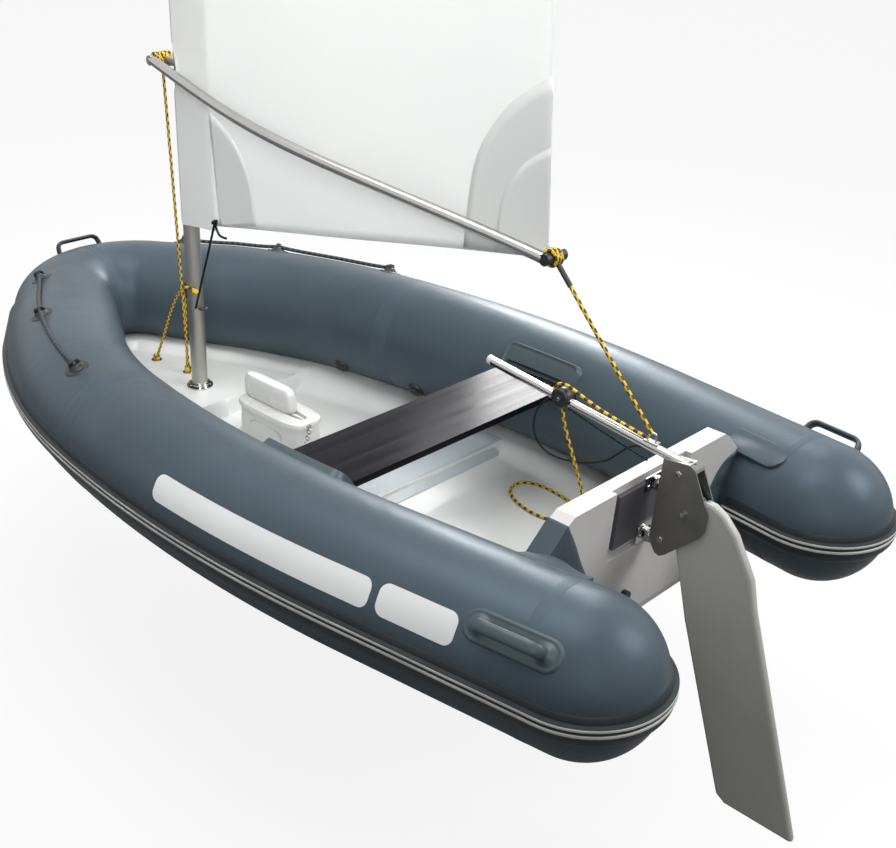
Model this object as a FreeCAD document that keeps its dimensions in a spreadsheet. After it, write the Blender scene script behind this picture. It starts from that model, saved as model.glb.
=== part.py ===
import FreeCAD, Part
import Sketcher

import math
import os

from FreeCAD import Placement, Rotation, Vector

# Rigid inflatable sailing dinghy.
# Frame: +X forward, +Y port, +Z up, origin amidships on the waterline.
# All sizes in millimetres, angles in degrees.

doc = FreeCAD.newDocument("sailing_rib")
sheet = doc.addObject("Spreadsheet::Sheet", "Dimensions")

SIZES = [
    # inflated tubes: a tangent run of lines and arcs in one level plane
    ("tube_radius", 170),
    ("bow_tube_radius", 158),
    ("axis_height", 150),
    ("stern_x", -1205),
    ("tail_half_spacing", 461),
    ("toe_angle", 7.5),
    ("tail_straight", 520),
    ("side_radius", 3480),
    ("side_turn", 16.4),
    ("shoulder_radius", 1620),
    ("shoulder_turn", 22),
    ("nose_radius", 203),
    ("tail_cone_length", 60),
    ("bulkhead_run", 1466),
    # rubbing strake round the outside
    ("strake_height", 54),
    ("strake_depth", 15),
    ("strake_drop", 17),
    ("strake_band_height", 17),
    ("strake_band_depth", 4),
    ("strake_inner_run", 150),
    ("strake_glue", 0.01),
    # hull and moulded deck
    ("hull_skin", 6),
    ("hull_offset", 62),
    ("hull_edge_height", -8),
    ("keel_aft", -62),
    ("keel_mid", -106),
    ("keel_fore", -62),
    ("stem_height", -12),
    ("stem_half", 16),
    ("stem_x", 1180),
    ("flange_outer_offset", 60),
    ("flange_offset", 128),
    ("flange_height", -8),
    ("bow_flange_height", 24),
    ("wall_foot_offset", 178),
    ("well_foot_offset", 210),
    ("fore_deck_height", 0),
    ("fore_deck_edge", 516),
    ("fore_wall_offset", 120),
    ("fore_foot_offset", 275),
    ("sole_height", -50),
    ("beam_fore_edge", -80),
    ("beam_aft_edge", -222),
    ("beam_foot", -315),
    ("beam_half", 425),
    ("beam_cover", 3),
    ("beam_lip_drop", 32),
    ("beam_lip_rake", 25),
    # transom
    ("transom_x", -1025),
    ("transom_top", 350),
    ("transom_thickness", 50),
    ("rake", 3.5),
    ("transom_top_half", 282),
    ("transom_corner_half", 304),
    ("transom_corner_drop", 14),
    ("transom_ear_half", 365),
    ("transom_ear_drop", 73),
    ("transom_edge_radius", 45),
    ("flap_waist_half", 246),
    ("flap_thickness", 3),
    ("flap_run", 198),
    ("plug_height", 47),
    ("plug_offset", 50),
    ("recess_half", 140),
    ("recess_depth", 16),
    ("recess_height", 178),
    ("pad_half", 118),
    ("pad_height", 137),
    ("pad_thickness", 12),
    ("plug_radius", 13),
    # thwart
    ("thwart_height", 246),
    ("thwart_thickness", 18),
    ("thwart_fore", -246),
    ("thwart_aft", -463),
    ("thwart_inset", 1),
    ("holder_length", 276),
    ("holder_thickness", 18),
    ("holder_play", 0.5),
    # mast, sail and boom
    ("mast_x", 650),
    ("mast_radius", 24),
    ("mast_wall", 2),
    ("mast_head", 3300),
    ("mast_clearance", 0.08),
    ("mast_foot_gap", 0.3),
    ("step_depth", 34),
    ("ring_radius", 40),
    ("ring_height", 12),
    ("cap_height", 24),
    ("sleeve_radius", 27),
    ("sleeve_clearance", 0.3),
    ("sail_thickness", 4),
    ("foot_luff_height", 530),
    ("clew_gap", 17),
    ("leech_top_x", -640),
    ("leech_top_height", 1500),
    ("boom_fore_x", 742),
    ("boom_fore_height", 978),
    ("boom_aft_x", -700),
    ("boom_aft_height", 760),
    ("boom_half_width", 111),
    ("boom_radius", 14),
    ("boom_end_half", 34),
    ("boom_front_half", 46),
    ("boom_saddle_half", 10),
    ("cleat_height", 304),
    ("eye_height", 265),
    # daggerboard and its case
    ("case_fore", 400),
    ("case_aft", 132),
    ("case_half", 56),
    ("case_height", 60),
    ("case_rim", 16),
    ("slot_clearance", 6),
    ("board_chord", 212),
    ("board_thickness", 24),
    ("board_length", 640),
    ("board_fore", 372),
    ("grip_fore", 410),
    ("grip_aft", 198),
    ("grip_half", 24),
    ("grip_height", 68),
    ("board_rest_gap", 0.4),
    # rudder
    ("rudder_axis_x", -1029),
    ("rudder_axis_height", 250),
    ("cheek_gap", 28),
    ("cheek_thickness", 3),
    ("blade_thickness", 22),
    ("blade_drop", 692),
    ("pin_radius", 5),
    ("pin_clearance", 0.06),
    ("gudgeon_upper", 70),
    ("gudgeon_lower", -66),
    ("tiller_radius", 11),
    ("tiller_fore_x", -526),
    ("tiller_fore_height", 463),
    ("tiller_aft_x", -1108),
    ("tiller_aft_height", 397),
    ("ratchet_x", -757),
    ("ratchet_radius", 27),
    ("ratchet_width", 40),
    ("blade_pivot_x", -1118),
    ("blade_pivot_height", 291),
    ("blade_pin_radius", 6),
    # ropes
    ("lifeline_radius", 5.5),
    ("sheet_radius", 4),
    ("downhaul_radius", 2.5),
]

for row, (alias, value) in enumerate(SIZES, 1):
    sheet.set("A%d" % row, alias)
    sheet.set("B%d" % row, str(value))
    sheet.setAlias("B%d" % row, alias)
doc.recompute()

parts = []


def size(alias):
    return float(sheet.get(alias))


def bind(thing, **expressions):
    for name, expression in expressions.items():
        thing.setExpression(name.replace("__", "."), dotted(expression))
    return thing


def bound(kind, label, **expressions):
    """A feature of the Part workbench whose sizes and place are expressions of the sheet."""
    return bind(doc.addObject("Part::" + kind, label), **expressions)


def block(label, fore, aft, half, low, high):
    """A box across the centreline."""
    return bound("Box", label, Length="%s - (%s)" % (fore, aft), Width="2 * (%s)" % half,
                 Height="%s - (%s)" % (high, low), Placement__Base__x=aft,
                 Placement__Base__y="-(%s)" % half, Placement__Base__z=low)


def joined(kind, label, base, tool):
    """A boolean of two features: Cut, Fuse or Common."""
    result = doc.addObject("Part::" + kind, label)
    result.Base = base
    result.Tool = tool
    return result


def shape_feature(label, shape):
    """A shape worked out above, held in the tree as a tool for booleans."""
    holder = doc.addObject("Part::Feature", label)
    holder.Shape = shape
    return holder


def keep(thing, label):
    """Register a finished sub-part under the name of its file."""
    thing.Label = label
    parts.append(thing)
    return thing


def part_named(label):
    """A sub-part that is already registered."""
    return next(part for part in parts if part.Label == label)


def solid_part(label, shape):
    """A sub-part whose form no single feature gives: its shape is worked out above."""
    return keep(shape_feature(label, shape), label)


def largest(shape):
    return max(shape.Solids, key=lambda solid: solid.Volume)


def fused(shapes):
    result = shapes[0]
    for shape in shapes[1:]:
        result = result.fuse(shape)
    return result.removeSplitter()


def mirrored(shape):
    return shape.mirror(Vector(0, 0, 0), Vector(0, 1, 0))


def polygon_face(points):
    return Part.Face(Part.makePolygon(points + [points[0]]))


def plane_of(body, role):
    return next(item for item in body.Origin.OriginFeatures if item.Role == role)


def outline_sketch(body, name, role, points):
    """A closed outline whose corners are expressions of the sheet's sizes."""
    sketch = body.newObject("Sketcher::SketchObject", name)
    sketch.AttachmentSupport = [(plane_of(body, role), "")]
    sketch.MapMode = "FlatFace"
    corners = [(evaluate(across), evaluate(along)) for across, along in points]
    count = len(corners)
    for index in range(count):
        start = Vector(corners[index][0], corners[index][1], 0)
        end = Vector(corners[(index + 1) % count][0], corners[(index + 1) % count][1], 0)
        sketch.addGeometry(Part.LineSegment(start, end))
    for index in range(count):
        sketch.addConstraint(Sketcher.Constraint("Coincident", index, 2, (index + 1) % count, 1))
        for kind, axis in (("DistanceX", 0), ("DistanceY", 1)):
            value = corners[index][axis]
            number = sketch.addConstraint(Sketcher.Constraint(kind, -1, 1, index, 1, value))
            sketch.setExpression("Constraints[%d]" % number, dotted(points[index][axis]))
    return sketch


def dotted(expression):
    """Put the sheet's name before each of its aliases."""
    words = []
    word = ""
    for letter in expression + " ":
        if letter.isalnum() or letter in "_.":
            word += letter
            continue
        words.append("Dimensions." + word if word in NAMES else word)
        words.append(letter)
        word = ""
    return "".join(words).strip()


NAMES = {alias for alias, value in SIZES}


def evaluate(expression):
    """Value of a sheet expression, through a spare cell of the sheet."""
    sheet.set("D1", "=" + expression)
    doc.recompute([sheet])
    return float(sheet.get("D1"))


def pad_body(label, role, points, length, pocket=None):
    """A plate: an outline padded equally to both sides of its plane, with one pocket if asked."""
    body = doc.addObject("PartDesign::Body", label)
    pad = body.newObject("PartDesign::Pad", label + "_pad")
    pad.Profile = outline_sketch(body, label + "_outline", role, points)
    pad.Midplane = True
    pad.setExpression("Length", dotted(length))
    if pocket:
        cut_points, cut_length = pocket
        cut = body.newObject("PartDesign::Pocket", label + "_pocket")
        cut.Profile = outline_sketch(body, label + "_pocket_outline", role, cut_points)
        cut.Midplane = True
        cut.setExpression("Length", dotted(cut_length))
    doc.recompute()
    return body


# Plan of the tubes

STERN = Vector(size("stern_x"), size("tail_half_spacing"), size("axis_height"))


class Run:
    """One straight or curved stretch of the port tube's centreline, with its tube's radii."""

    def __init__(self, start, heading, length=0.0, radius=0.0, turn=0.0, girth=None):
        self.start = start
        self.heading = heading
        self.length = length if length else radius * math.radians(turn)
        self.radius = radius
        self.turn = turn
        self.girth = girth or (size("tube_radius"), size("tube_radius"))

    def direction(self, along=0.0):
        angle = math.radians(self.heading - self.turned(along))
        return Vector(math.cos(angle), math.sin(angle), 0)

    def outward(self, along=0.0):
        forward = self.direction(along)
        return Vector(-forward.y, forward.x, 0)

    def turned(self, along):
        return math.degrees(along / self.radius) if self.radius else 0.0

    def centre(self):
        return self.start - self.outward() * self.radius

    def point(self, along):
        if not self.radius:
            return self.start + self.direction() * along
        return self.centre() + self.outward(along) * self.radius

    def tube_radius(self, along):
        low, high = self.girth
        return low + (high - low) * along / self.length

    def part(self, begin, end):
        """The stretch between two lengths along this run."""
        heading = self.heading - self.turned(begin)
        girth = (self.tube_radius(begin), self.tube_radius(end))
        if not self.radius:
            return Run(self.point(begin), heading, length=end - begin, girth=girth)
        turn = math.degrees((end - begin) / self.radius)
        return Run(self.point(begin), heading, radius=self.radius, turn=turn, girth=girth)


def tube_plan():
    """Tail line, side arc, shoulder arc, tapering bow line and the nose arc to the centreline."""
    slim = size("bow_tube_radius")
    tail = Run(STERN, size("toe_angle"), length=size("tail_straight"))
    side = Run(tail.point(tail.length), size("toe_angle"),
               radius=size("side_radius"), turn=size("side_turn"))
    heading = size("toe_angle") - size("side_turn")
    shoulder = Run(side.point(side.length), heading,
                   radius=size("shoulder_radius"), turn=size("shoulder_turn"))
    heading -= size("shoulder_turn")
    start = shoulder.point(shoulder.length)
    nose_drop = size("nose_radius") * math.cos(math.radians(heading))
    bow_length = (start.y - nose_drop) / -math.sin(math.radians(heading))
    bow = Run(start, heading, length=bow_length, girth=(size("tube_radius"), slim))
    nose = Run(bow.point(bow.length), heading, radius=size("nose_radius"), turn=90 + heading,
               girth=(slim, slim))
    return [tail, side, shoulder, bow, nose]


PLAN = tube_plan()
PLAN_LENGTH = sum(run.length for run in PLAN)


def stretch(begin, end):
    """The runs of the plan between two lengths measured from the tail's centre."""
    pieces = []
    passed = 0.0
    for run in PLAN:
        low = max(begin - passed, 0.0)
        high = min(end - passed, run.length)
        if high - low > 1e-6:
            pieces.append(run.part(low, high))
        passed += run.length
    return pieces


def at_length(length):
    """The centreline's point, direction, outward normal and tube radius at a length."""
    passed = 0.0
    for run in PLAN:
        if length <= passed + run.length or run is PLAN[-1]:
            along = length - passed
            return (run.point(along), run.direction(along), run.outward(along),
                    run.tube_radius(along))
        passed += run.length


def place_across(face, run, along=0.0):
    """Stand a flat profile, drawn with x outward and y up, across a run."""
    outward = run.outward(along)
    forward = run.direction(along)
    spot = run.point(along)
    placed = face.copy()
    placed.Placement = Placement(FreeCAD.Matrix(outward.x, 0, forward.x, spot.x,
                                                outward.y, 0, forward.y, spot.y,
                                                0, 1, 0, spot.z,
                                                0, 0, 0, 1))
    return placed


def swept(profile, runs):
    """Carry a profile, given as a function of the tube's radius, along runs of the plan."""
    solids = []
    for run in runs:
        first = place_across(profile(run.girth[0]), run)
        if run.radius:
            solids.append(first.revolve(run.centre(), Vector(0, 0, -1), run.turn))
        elif abs(run.girth[0] - run.girth[1]) < 1e-6:
            solids.append(first.extrude(run.direction() * run.length))
        else:
            last = place_across(profile(run.girth[1]), run, run.length)
            solids.append(Part.makeLoft([first.OuterWire, last.OuterWire], True, True))
    return fused(solids) if len(solids) > 1 else solids[0]


def tube_runs(runs):
    """The tube itself along runs: cylinders, a cone and torus segments."""
    solids = []
    for run in runs:
        low, high = run.girth
        if run.radius or abs(low - high) < 1e-6:
            solids.append(swept(disc, [run]))
        else:
            solids.append(Part.makeCone(low, high, run.length, run.start, run.direction()))
    return fused(solids) if len(solids) > 1 else solids[0]


def disc(radius):
    return Part.Face(Part.Wire(Part.makeCircle(radius)))


def surface_point(length, angle, side=1, lift=0.0):
    """A point on the tube: angle 0 is outboard, 90 on top, 180 inboard."""
    point, forward, outward, radius = at_length(length)
    reach = radius + lift
    spot = point + outward * (reach * math.cos(math.radians(angle)))
    spot.z += reach * math.sin(math.radians(angle))
    return Vector(spot.x, side * spot.y, spot.z)


def surface_frame(length, angle, side=1, lift=0.0):
    """Placement on the tube's skin: x along the tube, z straight out of it."""
    forward, outward = at_length(length)[1:3]
    normal = outward * math.cos(math.radians(angle)) + Vector(0, 0, math.sin(math.radians(angle)))
    if side < 0:
        normal.y = -normal.y
        forward = Vector(forward.x, -forward.y, 0)
    rotation = Rotation(forward, normal.cross(forward), normal, "ZXY")
    return Placement(surface_point(length, angle, side, lift), rotation)


# Inflated tubes

def tail_cone():
    radius = size("tube_radius")
    cap = Part.makeSphere(radius, STERN, Vector(0, 0, 1), -90, 90, 180)
    turn = math.degrees(math.atan2(PLAN[0].direction().y, PLAN[0].direction().x)) + 90
    cap.rotate(STERN, Vector(0, 0, 1), turn)
    return fused([cap, tube_runs(stretch(0, size("tail_cone_length")))])


TAIL = tail_cone()
AFT_CHAMBER = tube_runs(stretch(size("tail_cone_length"), size("bulkhead_run")))
BOW_CHAMBER = tube_runs(stretch(size("bulkhead_run"), PLAN_LENGTH))

for chamber, shape in (("tail_cone", TAIL), ("tube_aft", AFT_CHAMBER), ("tube_bow", BOW_CHAMBER)):
    solid_part(chamber + "_port", shape)
    solid_part(chamber + "_starboard", mirrored(shape))

HALF_TUBE = tube_runs(PLAN)
TUBES = fused([HALF_TUBE, mirrored(HALF_TUBE)])
TUBES_AND_TAILS = fused([TUBES, TAIL, mirrored(TAIL)])
tubes = shape_feature("tubes", TUBES)


# Rubbing strake: a flat band over a bumper with two ribs, bonded to the tube's equator

def strake_profile(radius):
    drop = size("strake_drop")
    half = size("strake_height") / 2
    face = radius + size("strake_depth")
    band = radius + size("strake_band_depth")
    rib = size("strake_depth") / 5

    bonded = radius + size("strake_glue")

    def skin(height):
        return Vector(math.sqrt(bonded ** 2 - height ** 2), height, 0)

    upper = skin(half - drop + size("strake_band_height"))
    lower = skin(-half - drop)
    shelf = half - drop
    outline = [Vector(upper.x + size("strake_band_depth"), upper.y, 0), Vector(band, shelf, 0),
               Vector(face - rib, shelf, 0), Vector(face, shelf - rib, 0),
               Vector(face, shelf - 3 * rib, 0), Vector(face - rib, shelf - 3.4 * rib, 0),
               Vector(face - rib, shelf - 5 * rib, 0), Vector(face, shelf - 5.4 * rib, 0),
               Vector(face, shelf - 7.4 * rib, 0)]
    edges = [Part.Arc(lower, skin(-drop), upper).toShape(), Part.makeLine(upper, outline[0])]
    edges += [Part.makeLine(a, b) for a, b in zip(outline, outline[1:])]
    bulge = Vector(face - rib / 2, -drop - half * 0.5, 0)
    edges.append(Part.Arc(outline[-1], bulge, lower).toShape())
    return Part.Face(Part.Wire(edges))


def half_strake():
    first = PLAN[0]
    outside = swept(strake_profile, PLAN)
    start = place_across(strake_profile(size("tube_radius")), first)
    round_tail = start.revolve(STERN, Vector(0, 0, 1), 180)
    inside = start.copy()
    inside.rotate(STERN, Vector(0, 0, 1), 180)
    inner_run = inside.extrude(first.direction() * size("strake_inner_run"))
    return fused([outside, round_tail, inner_run])


STRAKE = half_strake()
solid_part("rub_strake", fused([STRAKE, mirrored(STRAKE)]))


# Hull skin: a shallow vee that runs up under the tubes

def offset_spots(offset, count=400):
    """The port centreline moved inboard by an offset, ended where it meets the boat's centreline."""
    spots = []
    for index in range(count + 1):
        point, forward, outward = at_length(PLAN_LENGTH * index / count)[:3]
        spot = point - outward * offset
        if spots and spot.y <= 1e-6:
            last = spots[-1]
            share = last.y / (last.y - spot.y) if last.y > spot.y else 1.0
            spots.append(Vector(last.x + (spot.x - last.x) * share, 0, spot.z))
            break
        spots.append(spot)
    spots[-1].y = 0.0
    return spots


EDGE_SPOTS = offset_spots(size("hull_offset"))


def edge_half_width(station):
    return max(min(EDGE_SPOTS, key=lambda spot: abs(spot.x - station)).y, size("stem_half"))


def keel_height(station):
    """Keel line: a gentle rocker aft, rising to the stem forward."""
    aft = size("transom_x") - 40
    length = size("stem_x") - aft
    points = [(aft, size("keel_aft")), (aft + 0.4 * length, size("keel_mid")),
              (aft + 0.72 * length, size("keel_mid") + 2), (aft + 0.9 * length, size("keel_fore")),
              (size("stem_x"), size("stem_height"))]
    curve = Part.BSplineCurve()
    curve.interpolate([Vector(x, 0, z) for x, z in points])
    line = Part.makeLine(Vector(station, 0, -500), Vector(station, 0, 500))
    return curve.toShape().distToShape(line)[1][0][0].z


STATION_SHARES = (0, 0.11, 0.25, 0.4, 0.54, 0.68, 0.79, 0.88, 0.94, 0.985)
HULL_AFT = size("transom_x") - 15
HULL_STATIONS = [HULL_AFT + (size("stem_x") - HULL_AFT) * share for share in STATION_SHARES]


def hull_body(lift):
    """Closed form of the hull below the tubes, raised by a lift to make the inside."""
    wires = []
    for station in HULL_STATIONS:
        half = edge_half_width(station)
        edge = size("hull_edge_height")
        keel = keel_height(station) + lift
        top = size("axis_height")
        chine = half * 0.84
        chine_height = keel + (edge - keel) * 0.36 + lift * 0.2
        points = [Vector(station, -half, top), Vector(station, -half, edge + lift),
                  Vector(station, -chine, chine_height), Vector(station, 0, keel),
                  Vector(station, chine, chine_height), Vector(station, half, edge + lift),
                  Vector(station, half, top)]
        wires.append(Part.makePolygon(points + [points[0]]))
    return Part.makeLoft(wires, True, True)


OUTSIDE = hull_body(0)
INSIDE = hull_body(size("hull_skin"))
SLOPE = math.tan(math.radians(size("rake")))
FAR = 1400.0


def raked(station, height):
    """A station given at the transom's top, moved to a height along the rake."""
    return station + (size("transom_top") - height) * SLOPE


def side_face(points):
    """A face in the centre plane, from pairs of station and height."""
    return polygon_face([Vector(x, 0, z) for x, z in points])


def both_ways(face, half):
    """Carry a face in the centre plane the same way to port and to starboard."""
    return face.extrude(Vector(0, half, 0)).fuse(face.extrude(Vector(0, -half, 0))).removeSplitter()


FRONT = size("transom_x") + size("transom_thickness")
AHEAD_OF_TRANSOM = both_ways(side_face([(raked(FRONT, -400), -400), (FAR, -400), (FAR, 600),
                                        (raked(FRONT, 600), 600)]), FAR)


def slab(low, high, fore, aft, half_width=FAR):
    return Part.makeBox(fore - aft, 2 * half_width, high - low, Vector(aft, -half_width, low))


def board_slot():
    """The slot that the daggerboard runs in, from below the keel to above the case."""
    clearance = size("slot_clearance")
    fore = size("board_fore") + clearance
    aft = size("board_fore") - size("board_chord") - clearance
    half = size("board_thickness") / 2 + clearance
    hole = slab(-400, 400, fore, aft, half)
    ends = [edge for edge in hole.Edges if abs(edge.BoundBox.ZLength - 800) < 1]
    return hole.makeFillet(half * 0.9, ends)


SLOT = board_slot()


hull_skin_shape = OUTSIDE.cut(INSIDE).common(AHEAD_OF_TRANSOM).common(
    slab(-400, size("axis_height") - 60, FAR, -FAR)).cut(TUBES).cut(SLOT)
solid_part("hull_shell", largest(hull_skin_shape))


# Moulded deck: flange under the tubes, sloping sides, fore deck, well, beam and aft sole

def plan_face(offset, height):
    """The area inside the tubes, moved inboard by an offset: one smooth edge a side."""
    spots = offset_spots(offset)
    count = 22
    chosen = [spots[round(index * (len(spots) - 1) / count)] for index in range(count + 1)]
    curve = Part.BSplineCurve()
    curve.interpolate([Vector(spot.x, spot.y, height) for spot in chosen])
    port = curve.toShape()
    first = chosen[0]
    closing = Part.makeLine(Vector(first.x, first.y, height), Vector(first.x, -first.y, height))
    return Part.Face(Part.Wire(Part.__sortEdges__([port, mirrored(port), closing])))


def hollow(low, high, offset_low, offset_high, outline, above):
    """A recess with sloping sides up to a height, kept to an outline in the centre plane."""
    rise = (offset_low - offset_high) / (high - low)
    lower = plan_face(offset_low, low).OuterWire
    upper = plan_face(offset_low - rise * (above - low), above).OuterWire
    return Part.makeLoft([lower, upper], True, True).common(both_ways(side_face(outline), FAR))


def moulding():
    flange = size("flange_height")
    bow = size("bow_flange_height")
    fore_deck = size("fore_deck_height")
    edge = size("fore_deck_edge")
    sole = size("sole_height")
    beam_aft = size("beam_aft_edge")
    lip_x = beam_aft - size("beam_lip_rake")
    lip_z = flange - size("beam_lip_drop")
    top = both_ways(side_face([(-FAR, -400), (FAR, -400), (FAR, bow), (900, bow), (edge, fore_deck + 12),
                               (edge / 2, flange), (-FAR, flange)]), FAR)
    solid = plan_face(size("flange_outer_offset"), -300).extrude(Vector(0, 0, 600)).common(top)
    aft_sole = hollow(sole, flange, size("wall_foot_offset"), size("flange_offset"),
                      [(-FAR, sole), (size("beam_foot"), sole), (lip_x, lip_z), (beam_aft, flange),
                       (beam_aft, flange + 60), (-FAR, flange + 60)], flange + 20)
    well = hollow(sole, flange, size("well_foot_offset"), size("flange_offset"),
                  [(size("beam_fore_edge"), sole), (edge, sole), (edge, flange + 60),
                   (size("beam_fore_edge"), flange + 60)], fore_deck + 14)
    deck = hollow(fore_deck, bow, size("fore_foot_offset"), size("fore_wall_offset"),
                  [(edge - 1, fore_deck), (FAR, fore_deck), (FAR, bow + 60), (edge - 1, bow + 60)],
                  bow + 2)
    shape = solid.common(INSIDE).common(AHEAD_OF_TRANSOM)
    return shape.cut(deck).cut(well).cut(aft_sole).cut(TUBES)


step_bore = Part.makeCylinder(size("mast_radius") + size("mast_clearance"), size("step_depth") + 50,
                              Vector(size("mast_x"), 0, size("fore_deck_height") - size("step_depth")))
LINER = largest(moulding().cut(SLOT).cut(step_bore))
liner = solid_part("deck_moulding", LINER)

cover = pad_body("beam_cover_plate", "XZ_Plane",
                 [("beam_fore_edge", "flange_height"), ("beam_fore_edge", "flange_height + beam_cover"),
                  ("beam_aft_edge - beam_cover / 2", "flange_height + beam_cover"),
                  ("beam_aft_edge - beam_lip_rake - beam_cover",
                   "flange_height - beam_lip_drop + beam_cover"),
                  ("beam_aft_edge - beam_lip_rake - beam_cover", "flange_height - beam_lip_drop"),
                  ("beam_aft_edge - beam_lip_rake", "flange_height - beam_lip_drop"),
                  ("beam_aft_edge", "flange_height")], "2 * beam_half")
keep(joined("Cut", "cross_beam", cover, liner), "cross_beam")


# Transom: a plate between the tubes, raked, with a recess and a pad for the rudder

def raked_x(station, height):
    """Expression for a station at the transom's top, moved to a height along the rake."""
    return "(%s) + (transom_top - (%s)) * tan(rake * 1 deg)" % (station, height)


def raked_plate(label, fore, aft, low, high, width):
    """A plate between two raked planes, padded across the boat."""
    corners = [(fore, low), (fore, high), (aft, high), (aft, low)]
    return pad_body(label, "XZ_Plane", [(raked_x(x, z), z) for x, z in corners], width)


def transom_body():
    ear = "transom_top - transom_ear_drop"
    half = [("transom_top_half", "transom_top"),
            ("transom_corner_half", "transom_top - transom_corner_drop"),
            ("transom_ear_half", ear), ("transom_ear_half + 60", ear + " - 30"),
            ("transom_ear_half + 60", "hull_edge_height"),
            ("0.84 * %s" % edge_half_width(HULL_AFT), "%s" % (keel_height(HULL_AFT) * 0.64)),
            ("0", "keel_aft")]
    port = half[:-1]
    outline = port + [half[-1]] + [("-(%s)" % y, z) for y, z in reversed(port)]
    plate = pad_body("transom_plate", "YZ_Plane", outline, "2.4 * abs(transom_x)")
    aft, fore = "transom_x", "transom_x + transom_thickness"
    low = "keel_aft - 20"
    sill = "keel_aft + transom_edge_radius"
    side = [(raked_x(fore, low), low), (raked_x(fore, "transom_top + 5"), "transom_top + 5"),
            (raked_x(aft, "transom_top + 5"), "transom_top + 5"), (raked_x(aft, sill), sill)]
    for share in (0.35, 0.7, 1.0):
        across = 1 - math.cos(share * math.pi / 2)
        drop = math.sin(share * math.pi / 2)
        side.append((raked_x(aft, sill) + " + %s * transom_edge_radius" % round(across, 4),
                     sill + " - %s * transom_edge_radius" % round(drop, 4)))
    side.append((raked_x(aft, sill) + " + transom_edge_radius", low))
    thickness = pad_body("transom_side", "XZ_Plane", side, "2 * (transom_ear_half + 80)")
    whole = joined("Common", "transom_whole", plate, thickness)
    return whole


recess = raked_plate("transom_recess", "transom_x + recess_depth", "transom_x - 60",
                     "transom_top - recess_height", "transom_top + 60", "2 * recess_half")
recessed = joined("Cut", "transom_recessed", transom_body(), recess)
keep(joined("Cut", "transom", recessed, tubes), "transom")

pad_low = "transom_top - recess_height + 21"
keep(raked_plate("transom_pad", "transom_x + recess_depth", "transom_x + recess_depth - pad_thickness",
                 pad_low, pad_low + " + pad_height", "2 * pad_half"), "transom_pad")


def transom_layer():
    """A thin layer over the transom's aft face."""
    thin = [(raked(size("transom_x"), z), z) for z in (-100, 500)]
    back = [(x - size("flap_thickness"), z) for x, z in reversed(thin)]
    return both_ways(side_face(thin + back), FAR)


def flap_sheet(curve, side):
    """Fabric on the transom's aft face, outboard of a curve from the ear down to the hull's edge."""
    foot = size("hull_edge_height")
    outline = curve + [(size("transom_ear_half") + 60, foot), (size("transom_ear_half") + 60, curve[0][1])]
    face = polygon_face([Vector(-FAR, side * y, z) for y, z in outline])
    return face.extrude(Vector(FAR, 0, 0)).common(transom_layer())


def ear_cover():
    """Fabric over the port ear's sloping top, from its upper corner down to the tube."""
    ear, top = size("transom_ear_half"), size("transom_top")
    corner, low = top - size("transom_corner_drop"), top - size("transom_ear_drop")
    thick = size("flap_thickness")
    band = polygon_face([Vector(-FAR, size("transom_corner_half"), corner), Vector(-FAR, ear, low),
                         Vector(-FAR, ear + thick, low + thick),
                         Vector(-FAR, size("transom_corner_half") + thick, corner + thick)])
    aft, fore = size("transom_x") - thick, FRONT
    between = both_ways(side_face([(raked(aft, z), z) for z in (100, 500)]
                                  + [(raked(fore, z), z) for z in (500, 100)]), FAR)
    return band.extrude(Vector(FAR, 0, 0)).common(between)


def tube_tongue(side):
    """The rounded tongue of fabric that runs aft of the ear over the tube."""
    thickness = size("flap_thickness")

    def sector(radius):
        low, high = math.radians(115), math.radians(135)
        ends = [Vector(math.cos(a), math.sin(a), 0) for a in (low, (low + high) / 2, high)]
        inner, outer = [p * radius for p in ends], [p * (radius + thickness) for p in ends]
        return Part.Face(Part.Wire([Part.Arc(*inner).toShape(), Part.makeLine(inner[2], outer[2]),
                                    Part.Arc(*reversed(outer)).toShape(),
                                    Part.makeLine(outer[0], inner[0])]))

    shape = swept(sector, stretch(size("tail_cone_length"), size("flap_run")))
    rounding = Part.makeCylinder(30, 120)
    rounding.Placement = surface_frame(size("tail_cone_length") + 34, 125, 1, -60)
    keeping = Part.makeBox(200, 120, 120, Vector(0, -60, 0))
    keeping.Placement = surface_frame(size("tail_cone_length") + 34, 125, 1, -60)
    shape = shape.common(rounding.fuse(keeping))
    return shape if side > 0 else mirrored(shape)


PORT_FLAP = [(304, 336), (275, 290), (243, 224), (218, 182), (204, 158), (196, 110), (206, 50), (240, 10),
             (262, size("hull_edge_height"))]
STARBOARD_FLAP = [(352, 280), (314, 278), (282, 256), (260, 223), (248, 189), (size("flap_waist_half"), 150),
                  (258, 90), (300, 30), (330, size("hull_edge_height"))]


def transom_flap(label, side):
    """Fabric bonded to the transom's aft face and to the tube beside it."""
    curve = PORT_FLAP if side > 0 else STARBOARD_FLAP
    board = transom_shape()
    sheets = [flap_sheet(curve, side).common(ear_limits(side))]
    if side > 0:
        sheets.append(ear_cover())
    whole = fused(sheets) if len(sheets) > 1 else sheets[0]
    whole = whole.cut(board).cut(TUBES)
    tongue = tube_tongue(side).cut(board).cut(TUBES_AND_TAILS).cut(whole)
    return solid_part(label, Part.makeCompound([largest(whole), largest(tongue)]))


def ear_limits(side):
    """The space inside the ear's outline on one side, so that the fabric ends at its edge."""
    ear, top = size("transom_ear_half"), size("transom_top")
    thick = size("flap_thickness")
    points = [(0, -100), (0, top), (size("transom_top_half"), top),
              (size("transom_corner_half") + thick, top - size("transom_corner_drop") + thick),
              (ear + thick, top - size("transom_ear_drop") + thick), (ear + 60, top - 100), (ear + 60, -100)]
    return polygon_face([Vector(-FAR, side * y, z) for y, z in points]).extrude(Vector(2 * FAR, 0, 0))


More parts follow.
